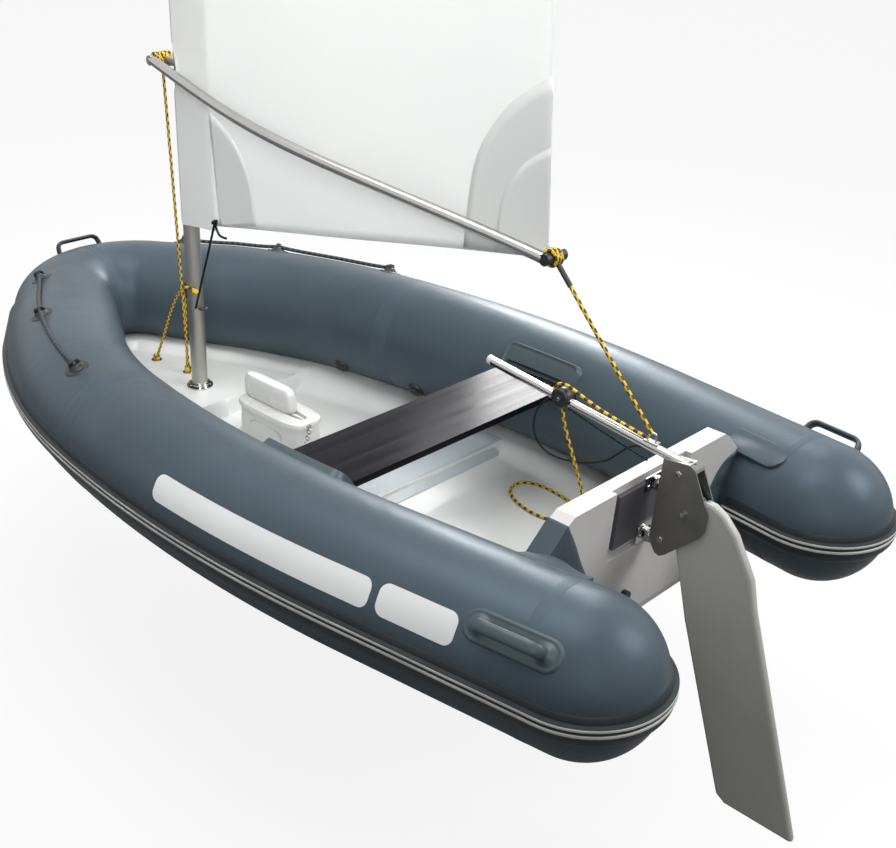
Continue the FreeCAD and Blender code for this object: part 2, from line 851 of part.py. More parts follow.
def transom_shape():
    doc.recompute()
    return part_named("transom").Shape


transom_flap("transom_flap_port", 1)
transom_flap("transom_flap_starboard", -1)

plug = bound("Cylinder", "drain_plug_stub", Radius="plug_radius", Height="14",
             Placement__Base__x=raked_x("transom_x", "plug_height") + " - 14",
             Placement__Base__y="plug_offset", Placement__Base__z="plug_height")
plug.Placement.Rotation = Rotation(Vector(0, 1, 0), 90)
keep(joined("Cut", "drain_plug", plug, part_named("transom")), "drain_plug")


# Thwart on its two rubber holders

def thwart_half():
    """Half the thwart's length: to the tubes' inner side where it is nearest, less the inset."""
    spots = [at_length(PLAN_LENGTH * index / 800)[:2] for index in range(480)]
    middle = (size("thwart_fore") + size("thwart_aft")) / 2
    point = min(spots, key=lambda spot: abs(spot[0].x - middle))[0]
    radius = size("tube_radius")
    reach = (size("thwart_fore") - size("thwart_aft")) / 2 + radius / 4
    low = size("thwart_height") - size("thwart_thickness") - size("axis_height")
    skin = math.sqrt(radius ** 2 - low ** 2)
    near = min(spot[0].y - skin / spot[1].x for spot in spots if abs(spot[0].x - middle) < reach)
    return near - size("thwart_inset"), point


THWART_HALF, THWART_AXIS = thwart_half()
half_text = "%s" % round(THWART_HALF, 3)
thwart = pad_body("thwart", "XY_Plane",
                  [("thwart_aft", "-" + half_text), ("thwart_fore", "-" + half_text),
                   ("thwart_fore", half_text), ("thwart_aft", half_text)], "thwart_thickness")
bind(thwart, Placement__Base__z="thwart_height - thwart_thickness / 2")
keep(thwart, "thwart")


def thwart_holder():
    """A moulded pad that follows the tube, notched for the end of the thwart."""
    thickness = size("holder_thickness")
    start = min(range(400), key=lambda i: abs(at_length(PLAN_LENGTH * i / 400)[0].x - THWART_AXIS.x))
    middle = PLAN_LENGTH * start / 400

    def sector(radius):
        low, high = math.radians(128), math.radians(166)
        points = [Vector(r * math.cos(a), r * math.sin(a), 0)
                  for r, a in ((radius, low), (radius, (low + high) / 2), (radius, high),
                               (radius + thickness, high - 0.05),
                               (radius + thickness, (low + high) / 2),
                               (radius + thickness, low + 0.05))]
        return Part.Face(Part.Wire([Part.Arc(points[0], points[1], points[2]).toShape(),
                                    Part.makeLine(points[2], points[3]),
                                    Part.Arc(points[3], points[4], points[5]).toShape(),
                                    Part.makeLine(points[5], points[0])]))

    half = size("holder_length") / 2
    base = swept(sector, stretch(middle - half, middle + half))
    play = size("holder_play")
    over = slab(size("thwart_height") - size("thwart_thickness"), size("thwart_height") + 100,
                size("thwart_fore") + play, size("thwart_aft") - play, THWART_HALF + play)
    return largest(base.cut(over).cut(TUBES))


HOLDER = thwart_holder()
solid_part("thwart_holder_port", HOLDER)
solid_part("thwart_holder_starboard", mirrored(HOLDER))


# Fittings bonded to the tubes

LIFELINE_ANGLE = 68
LIFELINE_SHARES = (0.112, 0.462, 0.749)
LIFELINE_RUNS = [size("bulkhead_run") + (PLAN_LENGTH - size("bulkhead_run")) * share
                 for share in LIFELINE_SHARES]


def lifeline_patch(length, side):
    """A low dome bonded to the tube's skin, with the knob that holds the line."""
    radius, rise = 34.0, 12.0
    sphere_radius = (radius ** 2 + rise ** 2) / (2 * rise)
    dome = Part.makeSphere(sphere_radius, Vector(0, 0, rise - sphere_radius))
    dome = dome.common(Part.makeCylinder(radius, rise + 30, Vector(0, 0, -20)))
    dome.Placement = surface_frame(length, LIFELINE_ANGLE, side)
    knob = Part.makeCylinder(11, 22, Vector(0, 0, 2))
    knob.Placement = surface_frame(length, LIFELINE_ANGLE, side)
    return dome.cut(TUBES).fuse(knob)


def lifeline(side):
    """The rope along the bow between the three knobs, lying close over the tube."""
    radius = size("lifeline_radius")
    first, second, third = LIFELINE_RUNS
    knob = 11.3
    spans = [(first + knob, second - knob), (second + knob, third - knob)]
    solids = []
    for begin, end in spans:
        points = [surface_point(begin + (end - begin) * share, LIFELINE_ANGLE, side,
                                radius + 2 + 10 * (2 * share - 1) ** 4)
                  for share in (0, 0.15, 0.35, 0.5, 0.65, 0.85, 1)]
        curve = Part.BSplineCurve()
        curve.interpolate(points)
        circle = Part.makeCircle(radius, points[0], curve.tangent(curve.FirstParameter)[0])
        solids.append(Part.Wire([curve.toShape()]).makePipeShell([Part.Wire([circle])], True, False))
    return Part.makeCompound(solids)


for name, side in (("port", 1), ("starboard", -1)):
    solid_part("lifeline_patches_" + name,
               Part.makeCompound([lifeline_patch(length, side) for length in LIFELINE_RUNS]))
    solid_part("lifeline_" + name, lifeline(side))


def grip_shape(span, rise, bar, foot_radius, foot_depth):
    """Two feet with a rounded bar between them, standing on the plane z = 0."""
    ends = (-span / 2, span / 2)
    feet = [Part.makeCylinder(foot_radius, rise + foot_depth, Vector(x, 0, -foot_depth)) for x in ends]
    grip = Part.makeCylinder(bar, span, Vector(-span / 2, 0, rise), Vector(1, 0, 0))
    knobs = [Part.makeSphere(foot_radius, Vector(x, 0, rise)) for x in ends]
    return [grip] + feet + knobs


def grab_handle(length, angle, side, span):
    """A moulded grip on an oval patch, its feet and its bar in one piece."""
    plate = Part.makeBox(span + 70, 70, 30, Vector(-span / 2 - 35, -35, -26))
    corners = [edge for edge in plate.Edges if abs(edge.BoundBox.ZLength - 30) < 1e-6]
    shape = fused([plate.makeFillet(34, corners)] + grip_shape(span, 34, 9, 11, 12))
    shape.Placement = surface_frame(length, angle, side)
    return shape.cut(TUBES_AND_TAILS)


solid_part("stern_handle_port", grab_handle(88, 40, 1, 150))
solid_part("stern_handle_starboard", grab_handle(88, 40, -1, 150))


def bow_grip():
    """The bow's carrying handle, across the stem."""
    reach = size("bow_tube_radius") + 2
    angle = math.radians(60)
    centre = PLAN[-1].point(PLAN[-1].length)
    frame = Placement(centre + Vector(reach * math.cos(angle), 0, reach * math.sin(angle)),
                      Rotation(Vector(0, 1, 0), Vector(-math.sin(angle), 0, math.cos(angle)),
                               Vector(math.cos(angle), 0, math.sin(angle)), "ZXY"))
    shape = fused(grip_shape(150, 26, 8, 11, 64))
    shape.Placement = frame
    return largest(shape.cut(TUBES))


solid_part("bow_handle", bow_grip())


def valve(length, side):
    """A recessed inflation valve with its cap."""
    body = Part.makeCylinder(22, 12, Vector(0, 0, -6)).fuse(Part.makeCylinder(15, 12))
    body.Placement = surface_frame(length, 219, side)
    return body.cut(TUBES)


VALVE_RUNS = (size("bulkhead_run") - 130, size("bulkhead_run") + 175)
valves = [valve(length, side) for side in (1, -1) for length in VALVE_RUNS]
solid_part("inflation_valves", Part.makeCompound(valves))


# Daggerboard and case

def rounded_block(label, fore, aft, half, low, high, radius):
    """A box with its four uprights rounded."""
    body = doc.addObject("PartDesign::Body", label)
    pad = body.newObject("PartDesign::Pad", label + "_pad")
    pad.Profile = outline_sketch(body, label + "_outline", "XY_Plane",
                                 [(aft, "-(%s)" % half), (fore, "-(%s)" % half), (fore, half), (aft, half)])
    pad.setExpression("Length", dotted("%s - (%s)" % (high, low)))
    doc.recompute()
    height = evaluate("%s - (%s)" % (high, low))
    uprights = ["Edge%d" % (number + 1) for number, edge in enumerate(pad.Shape.Edges)
                if abs(edge.BoundBox.ZLength - height) < 1e-6]
    rounding = body.newObject("PartDesign::Fillet", label + "_rounding")
    rounding.Base = (pad, uprights)
    rounding.setExpression("Radius", dotted(radius))
    bind(body, Placement__Base__z=low)
    doc.recompute()
    return body


slot = shape_feature("board_slot", SLOT)
well_box = rounded_block("case_box", "case_fore", "case_aft", "case_half", "sole_height", "case_height",
                         "0.75 * case_half")
rim = rounded_block("case_rim_block", "case_fore + 6", "case_aft - 6", "case_half + 6",
                    "case_height - case_rim", "case_height", "0.8 * case_half")
case_outside = joined("Fuse", "case_outside", well_box, rim)
keep(joined("Cut", "daggerboard_case", case_outside, slot), "daggerboard_case")


def board_foil():
    """The board's blade: a rounded nose, its full thickness at a third, and a thin tail."""
    fore = size("board_fore")
    chord = size("board_chord")
    half = size("board_thickness") / 2
    top = size("case_height") + size("board_rest_gap")
    shares = ((0, 0), (0.02, 0.36), (0.08, 0.70), (0.2, 0.95), (0.33, 1.0), (0.6, 0.78), (1, 0.2))
    upper = [Vector(fore - chord * x, half * y, top) for x, y in shares]
    around = [Vector(point.x, -point.y, point.z) for point in reversed(upper)] + upper[1:]
    curve = Part.BSplineCurve()
    curve.interpolate(around)
    section = Part.Wire([curve.toShape(), Part.makeLine(around[-1], around[0])])
    foil = Part.Face(section).extrude(Vector(0, 0, -size("board_length")))
    low = top - size("board_length")
    corner = polygon_face([Vector(fore + 10, 100, low - 1), Vector(fore + 10, 100, low + 60),
                           Vector(fore - 70, 100, low - 1)]).extrude(Vector(0, -200, 0))
    return foil.cut(corner)


foil = shape_feature("board_foil", board_foil())
rest = "case_height + board_rest_gap"
stop = rounded_block("board_stop", "grip_fore - 22", "grip_aft + 8", "grip_half - 3", rest, rest + " + 30",
                     "0.7 * (grip_half - 3)")
handle = block("board_handle_block", "grip_fore", "grip_aft", "grip_half", rest + " + 8",
               rest + " + grip_height")
doc.recompute()
handle_rounding = doc.addObject("Part::Fillet", "board_handle")
handle_rounding.Base = handle
handle_rounding.Edges = [(number + 1, 11.0, 11.0) for number in range(len(handle.Shape.Edges))]
grip = joined("Fuse", "board_grip", stop, handle_rounding)
keep(joined("Fuse", "daggerboard", foil, grip), "daggerboard")


# Mast step ring, mast, sail and wishbone boom

flat_ring = bound("Cylinder", "ring_plate", Radius="ring_radius", Height="4",
                  Placement__Base__x="mast_x", Placement__Base__z="fore_deck_height")
collar = bound("Cylinder", "ring_collar", Radius="mast_radius + 8", Height="ring_height",
               Placement__Base__x="mast_x", Placement__Base__z="fore_deck_height")
ring_bore = bound("Cylinder", "ring_bore", Radius="mast_radius + mast_clearance", Height="60",
                  Placement__Base__x="mast_x", Placement__Base__z="fore_deck_height - 20")
keep(joined("Cut", "mast_step_ring", joined("Fuse", "ring_body", flat_ring, collar), ring_bore),
     "mast_step_ring")

MAST_LENGTH = "mast_head - fore_deck_height + step_depth - mast_foot_gap"
mast_outer = bound("Cylinder", "mast_outer", Radius="mast_radius", Height=MAST_LENGTH)
mast_inner = bound("Cylinder", "mast_inner", Radius="mast_radius - mast_wall", Height=MAST_LENGTH)
mast = joined("Cut", "mast_tube", mast_outer, mast_inner)
bind(mast, Placement__Base__x="mast_x",
     Placement__Base__z="fore_deck_height - step_depth + mast_foot_gap")
keep(mast, "mast")
keep(bound("Cylinder", "mast_cap_disc", Radius="mast_radius + 3", Height="cap_height",
           Placement__Base__x="mast_x", Placement__Base__z="mast_head"), "mast_cap")

cleat = block("cleat_block", "mast_x + mast_radius + 14", "mast_x + mast_radius - mast_wall", "9", "cleat_height - 26",
              "cleat_height + 26")
keep(joined("Cut", "mast_cleat", cleat, mast), "mast_cleat")
eye = bound("Torus", "eye_ring", Radius1="11", Radius2="3.5",
            Placement__Base__x="mast_x - mast_radius - 13", Placement__Base__z="eye_height")
keep(joined("Cut", "mast_eye", eye, mast), "mast_eye")


def sail_shape():
    """The set sail: a sleeve round the mast and the flat cloth behind it."""
    mast_x = size("mast_x")
    radius = size("sleeve_radius")
    half = size("sail_thickness") / 2
    foot = size("foot_luff_height")
    head = size("mast_head") - 20
    clew = Vector(size("boom_aft_x") + size("clew_gap"), half, size("boom_aft_height") - 4)
    leech_low = Vector(size("leech_top_x"), half, size("leech_top_height"))
    crown = Vector(mast_x - 120, half, head)
    leech = Part.BSplineCurve()
    reach = crown - leech_low
    leech.interpolate([leech_low, leech_low + Vector(reach.x * 0.165, 0, reach.z * 0.35),
                       leech_low + Vector(reach.x * 0.42, 0, reach.z * 0.66),
                       leech_low + Vector(reach.x * 0.73, 0, reach.z * 0.89), crown])
    luff = mast_x - radius + 3
    corners = [crown, Vector(luff, half, head), Vector(luff, half, foot), clew, leech_low]
    edges = [leech.toShape()] + [Part.makeLine(a, b) for a, b in zip(corners, corners[1:])]
    cloth = Part.Face(Part.Wire(edges)).extrude(Vector(0, -2 * half, 0))
    window_low = size("boom_fore_height") - 70
    window_high = size("boom_fore_height") + 75
    sleeve = Part.makeCylinder(radius, head - foot, Vector(mast_x, 0, foot))
    inner = size("mast_radius") + size("sleeve_clearance")
    bore = Part.makeCylinder(inner, head - foot + 2, Vector(mast_x, 0, foot - 1))
    window = Part.makeBox(60, 200, window_high - window_low, Vector(mast_x - 8, -100, window_low))
    return cloth.cut(bore).fuse(sleeve.cut(bore).cut(window)).removeSplitter()


solid_part("sail", sail_shape())


def boom_arm(side):
    """One curved arm of the wishbone, from the mast fitting to the aft end."""
    fore = Vector(size("boom_fore_x"), side * 34, size("boom_fore_height"))
    aft = Vector(size("boom_aft_x") + 12, side * 22, size("boom_aft_height") + 2)
    half = size("boom_half_width")

    def spot(share, across):
        point = fore + (aft - fore) * share
        return Vector(point.x, side * across, point.z)

    curve = Part.BSplineCurve()
    curve.interpolate([fore, spot(0.18, half * 0.72), spot(0.38, half), spot(0.62, half * 0.80), aft])
    start = curve.FirstParameter
    circle = Part.makeCircle(size("boom_radius"), curve.value(start), curve.tangent(start)[0])
    return Part.Wire([curve.toShape()]).makePipeShell([Part.Wire([circle])], True, False)


arms = [solid_part("boom_arm_port", boom_arm(1)), solid_part("boom_arm_starboard", boom_arm(-1))]
both_arms = joined("Fuse", "boom_arms", arms[0], arms[1])


def cross_tube(label, half, station, height):
    """The short tube across the boat that joins the arms' ends."""
    tube = bound("Cylinder", label, Radius="boom_radius", Height="2 * " + half, Placement__Base__x=station,
                 Placement__Base__y="-" + half, Placement__Base__z=height)
    tube.Placement.Rotation = Rotation(Vector(1, 0, 0), -90)
    return tube


end_tube = cross_tube("boom_end_tube", "boom_end_half", "boom_aft_x + 2", "boom_aft_height + 2")
keep(joined("Cut", "boom_end_fitting", end_tube, both_arms), "boom_end_fitting")
front_tube = cross_tube("boom_front_tube", "boom_front_half", "boom_fore_x", "boom_fore_height")
saddle = block("boom_saddle", "boom_fore_x", "mast_x + mast_radius + 0.3", "boom_saddle_half",
               "boom_fore_height - boom_saddle_half", "boom_fore_height + boom_saddle_half")
front_whole = joined("Fuse", "boom_front_whole", front_tube, saddle)
keep(joined("Cut", "boom_front_fitting", front_whole, both_arms), "boom_front_fitting")


# Rudder: cheeks, tiller and blade, with the gudgeons that carry them

LEAN = math.radians(size("rake"))
AXIS_POINT = Vector(size("rudder_axis_x"), 0, size("rudder_axis_height"))
AXIS_DIRECTION = Vector(-math.sin(LEAN), 0, math.cos(LEAN))


def along_axis(distance):
    return AXIS_POINT + AXIS_DIRECTION * distance


def about_pivot(shares):
    """Outline points given from the blade's pivot, in shares of the blade's drop."""
    return [("blade_pivot_x + %s * blade_drop" % x, "blade_pivot_height + %s * blade_drop" % z)
            for x, z in shares]


CHEEK = ((0.097, 0.160), (0.002, 0.171), (-0.020, 0.160), (-0.084, 0.027), (-0.078, -0.035),
         (-0.062, -0.062), (0.053, -0.173), (0.072, -0.185), (0.090, -0.180), (0.117, -0.139), (0.108, 0.013))
GAP = ((0.150, 0.094), (0.045, 0.094), (0.026, 0.121), (-0.014, 0.151), (-0.15, 0.151), (-0.15, -0.25),
       (0.150, -0.25))
BLADE = ((0.020, 0.062), (-0.032, 0.068), (-0.094, 0.065), (-0.134, 0.045), (-0.186, -0.007),
         (-0.260, -0.137), (-0.285, -0.238), (-0.542, -1.0), (-0.285, -0.997), (-0.250, -0.975),
         (-0.233, -0.928), (-0.042, -0.377), (0.022, -0.145), (0.055, -0.042), (0.058, 0.013), (0.045, 0.045))

plates = pad_body("rudder_cheeks", "XZ_Plane", about_pivot(CHEEK), "cheek_gap + 2 * cheek_thickness",
                  (about_pivot(GAP), "cheek_gap"))
tiller_aft = Vector(size("tiller_aft_x"), 0, size("tiller_aft_height"))
tiller_way = Vector(size("tiller_fore_x"), 0, size("tiller_fore_height")) - tiller_aft
tiller = bound("Cylinder", "tiller_tube", Radius="tiller_radius",
               Height="sqrt((tiller_fore_x - tiller_aft_x)^2 + (tiller_fore_height - tiller_aft_height)^2)",
               Placement__Base__x="tiller_aft_x", Placement__Base__z="tiller_aft_height")
tiller.Placement.Rotation = Rotation(Vector(0, 0, 1), tiller_way)
pivot_pin = bound("Cylinder", "pivot_pin_rod", Radius="blade_pin_radius", Height="cheek_gap + 20",
                  Placement__Base__x="blade_pivot_x", Placement__Base__y="cheek_gap / 2 + 10",
                  Placement__Base__z="blade_pivot_height")
pivot_pin.Placement.Rotation = Rotation(Vector(0, 0, 1), Vector(0, -1, 0))
drilled = joined("Cut", "cheeks_for_tiller", plates, tiller)
keep(joined("Cut", "rudder_stock", drilled, pivot_pin), "rudder_stock")
keep(tiller, "tiller")
keep(pivot_pin, "blade_pivot_pin")

blade = pad_body("blade_plate", "XZ_Plane", about_pivot(BLADE), "blade_thickness")
pin_hole = bound("Cylinder", "blade_pin_hole", Radius="blade_pin_radius + pin_clearance", Height="100",
                 Placement__Base__x="blade_pivot_x", Placement__Base__y="50",
                 Placement__Base__z="blade_pivot_height")
pin_hole.Placement.Rotation = Rotation(Vector(0, 0, 1), Vector(0, -1, 0))
keep(joined("Cut", "rudder_blade", blade, pin_hole), "rudder_blade")

ratchet = bound("Cylinder", "ratchet_drum", Radius="ratchet_radius", Height="ratchet_width",
                Placement__Base__x="ratchet_x", Placement__Base__y="ratchet_width / 2",
                Placement__Base__z="tiller_aft_height + (ratchet_x - tiller_aft_x) / (tiller_fore_x - "
                                   "tiller_aft_x) * (tiller_fore_height - tiller_aft_height) + 6")
ratchet.Placement.Rotation = Rotation(Vector(0, 0, 1), Vector(0, -1, 0))
keep(joined("Cut", "tiller_ratchet", ratchet, tiller), "tiller_ratchet")


def on_axis(shape, distance):
    """Move a shape drawn round the z axis to a distance along the rudder's axis."""
    shape.Placement = Placement(along_axis(distance), Rotation(Vector(0, 1, 0), -size("rake")))
    return shape


def pintle(distance):
    """An eye on the cheeks' front edge that turns on the gudgeon's pin."""
    gap = size("cheek_gap")
    barrel = Part.makeCylinder(size("pin_radius") + 5, 16)
    strap = Part.makeBox(34, gap - 0.4, 16, Vector(-36, 0.2 - gap / 2, 0))
    hole = Part.makeCylinder(size("pin_radius") + size("pin_clearance"), 40, Vector(0, 0, -10))
    return on_axis(barrel.fuse(strap).removeSplitter().cut(hole), distance)


def gudgeon(distance, plate_low, plate_high):
    """A plate on the pad with two lugs and the pin between them."""
    surface = size("transom_x") + size("recess_depth") - size("pad_thickness")
    lugs = []
    for shift in (-6.4, 16.4):
        lug = Part.makeCylinder(size("pin_radius") + 4, 6)
        reach = Part.makeBox(60, 14, 6, Vector(0, -7, 0))
        lugs.append(on_axis(lug.fuse(reach), distance + shift))
    pin = on_axis(Part.makeCylinder(size("pin_radius"), 34), distance - 9)
    base = along_axis(distance).z
    plate = both_ways(side_face([(raked(surface, z), z) for z in (base + plate_low, base + plate_high)]
                                + [(raked(surface - 3, z), z) for z in (base + plate_high,
                                                                        base + plate_low)]), 32)
    behind = [(raked(surface, z), z) for z in (-200, 700)] + [(-FAR, 700), (-FAR, -200)]
    return fused(lugs + [pin, plate]).common(both_ways(side_face(behind), FAR))


solid_part("gudgeon_upper", gudgeon(size("gudgeon_upper"), -10, 26))
solid_part("gudgeon_lower", gudgeon(size("gudgeon_lower"), -10, 40))
solid_part("pintles", Part.makeCompound([pintle(size("gudgeon_upper")), pintle(size("gudgeon_lower"))]))


# Free ropes: straight runs joined by tangent arcs

def rope(points, radius):
    spots = [Vector(*point) for point in points]
    edges = []
    start = spots[0]
    for before, corner, after in zip(spots, spots[1:], spots[2:]):
        come = (corner - before)
        leave = (after - corner)
        shorter = min(come.Length, leave.Length)
        turn = come.getAngle(leave)
        come.normalize()
        leave.normalize()
        if turn < 1e-4:
            continue
        arc_radius = 0.45 * shorter / math.tan(turn / 2)
        reach = arc_radius * math.tan(turn / 2)
        begin = corner - come * reach
        end = corner + leave * reach
        inward = (leave - come).normalize()
        sag = arc_radius / math.cos(turn / 2) - arc_radius
        edges.append(Part.makeLine(start, begin))
        edges.append(Part.Arc(begin, corner + inward * sag, end).toShape())
        start = end
    edges.append(Part.makeLine(start, spots[-1]))
    circle = Part.makeCircle(radius, spots[0], spots[1] - spots[0])
    return Part.Wire(edges).makePipeShell([Part.Wire([circle])], True, False)


# from the ratchet down to the sole, then a loose loop over it
SHEET_TAIL = [(-757, 0, 415.5), (-758, -2, 385), (-774, -20, 310), (-796, -56, 180), (-806, -92, 50),
              (-800, -150, -38), (-724, -262, -45.7), (-620, -318, -45.7), (-520, -343, -45.7),
              (-430, -348, -45.7), (-383, -318, -45.7), (-396, -262, -45.7), (-450, -226, -45.7),
              (-530, -208, -45.7), (-610, -222, -45.7), (-690, -196, -45.7)]
# a slack line from the ratchet to the rudder's head
DOWNHAUL = [(-727, -14, 432), (-690, -30, 410), (-640, -44, 350), (-636, -50, 280), (-690, -50, 247),
            (-780, -48, 262), (-862, -40, 300), (-905, -30, 344), (-935, -24, 374), (-968, -20, 388),
            (-1010, -20, 390), (-1052, -20, 385)]

solid_part("sheet_tail", rope(SHEET_TAIL, size("sheet_radius")))
solid_part("downhaul_line", rope(DOWNHAUL, size("downhaul_radius")))


# Every object must have built before anything is written

doc.recompute()
for item in doc.Objects:
    bad = [word for word in item.State if word in ("Invalid", "Error")]
    if bad:
        raise RuntimeError("%s: %s" % (item.Label, bad))
broken = [item.Label for item in parts if item.Shape.isNull() or not item.Shape.isValid()]
if broken:
    raise RuntimeError("no valid shape: " + ", ".join(broken))

os.makedirs("parts", exist_ok=True)
for item in parts:
    item.Shape.exportStep(os.path.join("parts", item.Label + ".step"))
    print("%-26s %10.0f mm3  %d solids" % (item.Label, item.Shape.Volume, len(item.Shape.Solids)))
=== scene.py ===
"""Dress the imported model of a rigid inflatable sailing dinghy.

Everything is in metres in the CAD frame: +X forward, +Y port, +Z up, origin on the waterline.
"""

from __future__ import annotations

import logging
import math
from dataclasses import dataclass, field
from enum import Enum
from typing import Callable, Sequence

import bpy
from mathutils import Matrix, Vector


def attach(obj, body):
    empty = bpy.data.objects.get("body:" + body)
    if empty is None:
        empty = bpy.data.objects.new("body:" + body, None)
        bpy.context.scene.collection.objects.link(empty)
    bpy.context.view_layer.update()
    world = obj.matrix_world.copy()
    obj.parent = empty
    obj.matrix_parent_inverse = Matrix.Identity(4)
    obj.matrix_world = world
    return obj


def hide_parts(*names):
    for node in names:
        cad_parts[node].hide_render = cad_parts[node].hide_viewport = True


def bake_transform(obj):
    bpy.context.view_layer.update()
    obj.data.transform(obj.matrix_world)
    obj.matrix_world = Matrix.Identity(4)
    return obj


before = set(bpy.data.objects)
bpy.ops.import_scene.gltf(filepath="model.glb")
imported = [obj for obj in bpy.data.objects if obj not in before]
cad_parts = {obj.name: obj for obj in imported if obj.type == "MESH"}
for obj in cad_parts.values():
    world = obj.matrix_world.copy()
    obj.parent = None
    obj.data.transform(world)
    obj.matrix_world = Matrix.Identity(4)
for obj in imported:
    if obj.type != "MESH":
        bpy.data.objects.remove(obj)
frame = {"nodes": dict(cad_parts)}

LOG = logging.getLogger("dinghy")
Pair = tuple[float, float]
Triple = tuple[float, float, float]
Colour = Triple
Piece = bpy.types.Object
NodeSocket = bpy.types.NodeSocket
AHEAD, ACROSS, UP = Vector((1, 0, 0)), Vector((0, 1, 0)), Vector((0, 0, 1))

# Points closer than this are one point
MERGE = 0.00002
# The transom's fore and aft faces at its top, and its rake
TRANSOM_FRONT, TRANSOM_BACK, TRANSOM_TOP = -0.975, -1.025, 0.350
TRANSOM_RAKE = math.tan(math.radians(3.5))
# Shading: strengths of the relief, its depths in metres, and scales across brushed metal and wood grain
FINE_RELIEF, WIDE_RELIEF, COAT_ROUGHNESS = 0.5, 0.6, 0.12
BRAID_DEPTH, BRUSHED_DEPTH, STRIPE_BLUR = 0.0006, 0.00004, 0.0004
BRUSH_SCALE, GRAIN_SCALE = 900.0, 60.0


class Side(Enum):
    """The two sides of the boat, by the sign of Y."""

    PORT = 1
    STARBOARD = -1

    @property
    def word(self) -> str:
        """The side's name as the nodes spell it."""
        return self.name.lower()

    def mirrored(self, point: Vector) -> Vector:
        """A point of the port side, or its mirror image."""
        return Vector((point.x, self.value * point.y, point.z))


# Shader groups that several finishes share


@dataclass
class Wiring:
    """Short calls that add and join shader nodes in one tree."""

    tree: bpy.types.NodeTree

    def node(self, kind: str, **values: object) -> bpy.types.Node:
        """Add a node.

        Args:
            kind: Node type without its ShaderNode prefix.
            **values: Properties, or inputs when the name starts with in_.

        Returns:
            The new node.
        """
        made = self.tree.nodes.new("ShaderNode" + kind)
        for name, value in values.items():
            if name.startswith("in_"):
                key = name[3:]
                put = made.inputs[int(key)] if key.isdigit() else made.inputs[key.replace("_", " ")]
                if isinstance(value, NodeSocket):
                    self.tree.links.new(value, put)
                else:
                    put.default_value = value
            else:
                setattr(made, name, value)
        return made

    def math(self, operation: str, first: object, second: object = 0.0,
             third: object = 0.0) -> NodeSocket:
        """One maths step and its result."""
        return self.node("Math", operation=operation, in_0=first, in_1=second, in_2=third).outputs[0]

    def mix(self, share: object, first: object, second: object) -> NodeSocket:
        """A colour mixed from two by a share."""
        made = self.node("Mix", data_type="RGBA")
        for number, value in ((0, share), (6, first), (7, second)):
            if isinstance(value, NodeSocket):
                self.tree.links.new(value, made.inputs[number])
            else:
                made.inputs[number].default_value = value
        return made.outputs[2]

    def ramp(self, share: object, low: float, high: float) -> NodeSocket:
        """A mask that rises from 0 at low to 1 at high."""
        return self.node("MapRange", in_0=share, in_1=low, in_2=high, in_3=0.0, in_4=1.0).outputs[0]

    def link(self, start: NodeSocket, end: NodeSocket) -> None:
        """Join two sockets."""
        self.tree.links.new(start, end)


def rgba(colour: Colour) -> tuple[float, float, float, float]:
    """A colour with full alpha."""
    return (*colour, 1.0)


def new_group(name: str, inputs: dict[str, object],
              outputs: dict[str, str]) -> tuple[Wiring, object, object]:
    """An empty shader group.

    Args:
        name: Name of the group.
        inputs: Names of its inputs with their defaults; None makes a vector.
        outputs: Names of its outputs with their types.

    Returns:
        The group's wiring, the sockets that it is given and the sockets that it puts out.
    """
    tree = bpy.data.node_groups.new(name, "ShaderNodeTree")
    start, end = tree.nodes.new("NodeGroupInput"), tree.nodes.new("NodeGroupOutput")
    kinds = {type(None): "Vector", float: "Float", tuple: "Color"}
    for label, value in inputs.items():
        item = tree.interface.new_socket(name=label, in_out="INPUT",
                                         socket_type="NodeSocket" + kinds[type(value)])
        if value is not None:
            item.default_value = value
    for label, kind in outputs.items():
        tree.interface.new_socket(name=label, in_out="OUTPUT", socket_type="NodeSocket" + kind)
    return Wiring(tree), start.outputs, end.inputs


def weathering_group() -> bpy.types.NodeTree:
    """Colour drift, light soiling, roughness drift and fine relief over a surface."""
    wires, given, out = new_group(
        "weathering",
        {"Vector": None, "Colour": (0.5, 0.5, 0.5, 1.0), "Soil": (0.2, 0.18, 0.15, 1.0), "Soiling": 0.1,
         "Patch size": 3.0, "Roughness": 0.4, "Roughness drift": 0.1},
        {"Colour": "Color", "Roughness": "Float", "Height": "Float"})
    clouds = wires.node("TexNoise", in_Vector=given["Vector"], in_Scale=given["Patch size"],
                        in_Detail=5.0, in_Roughness=0.6).outputs[0]
    fine = wires.node("TexNoise", in_Vector=given["Vector"], in_Scale=90.0, in_Detail=3.0).outputs[0]
    share = wires.math("MULTIPLY", wires.ramp(clouds, 0.42, 0.75), given["Soiling"])
    wires.link(wires.mix(share, given["Colour"], given["Soil"]), out["Colour"])
    drift = wires.math("MULTIPLY", wires.math("SUBTRACT", clouds, 0.5), given["Roughness drift"])
    wires.link(wires.math("ADD", given["Roughness"], drift), out["Roughness"])
    wires.link(fine, out["Height"])
    return wires.tree


def weave_group() -> bpy.types.NodeTree:
    """The cross-woven threads of a fabric as a height, from a vector in metres and threads per metre."""
    wires, given, out = new_group("weave", {"Vector": None, "Threads": 900.0}, {"Height": "Float"})
    split = wires.node("SeparateXYZ", in_0=given["Vector"])
    waves = []
    for axis in (0, 1):
        turned = wires.math("MULTIPLY", split.outputs[axis], math.tau)
        turned = wires.math("MULTIPLY", turned, given["Threads"])
        waves.append(wires.math("ABSOLUTE", wires.math("SINE", turned)))
    wires.link(wires.math("MAXIMUM", *waves), out["Height"])
    return wires.tree


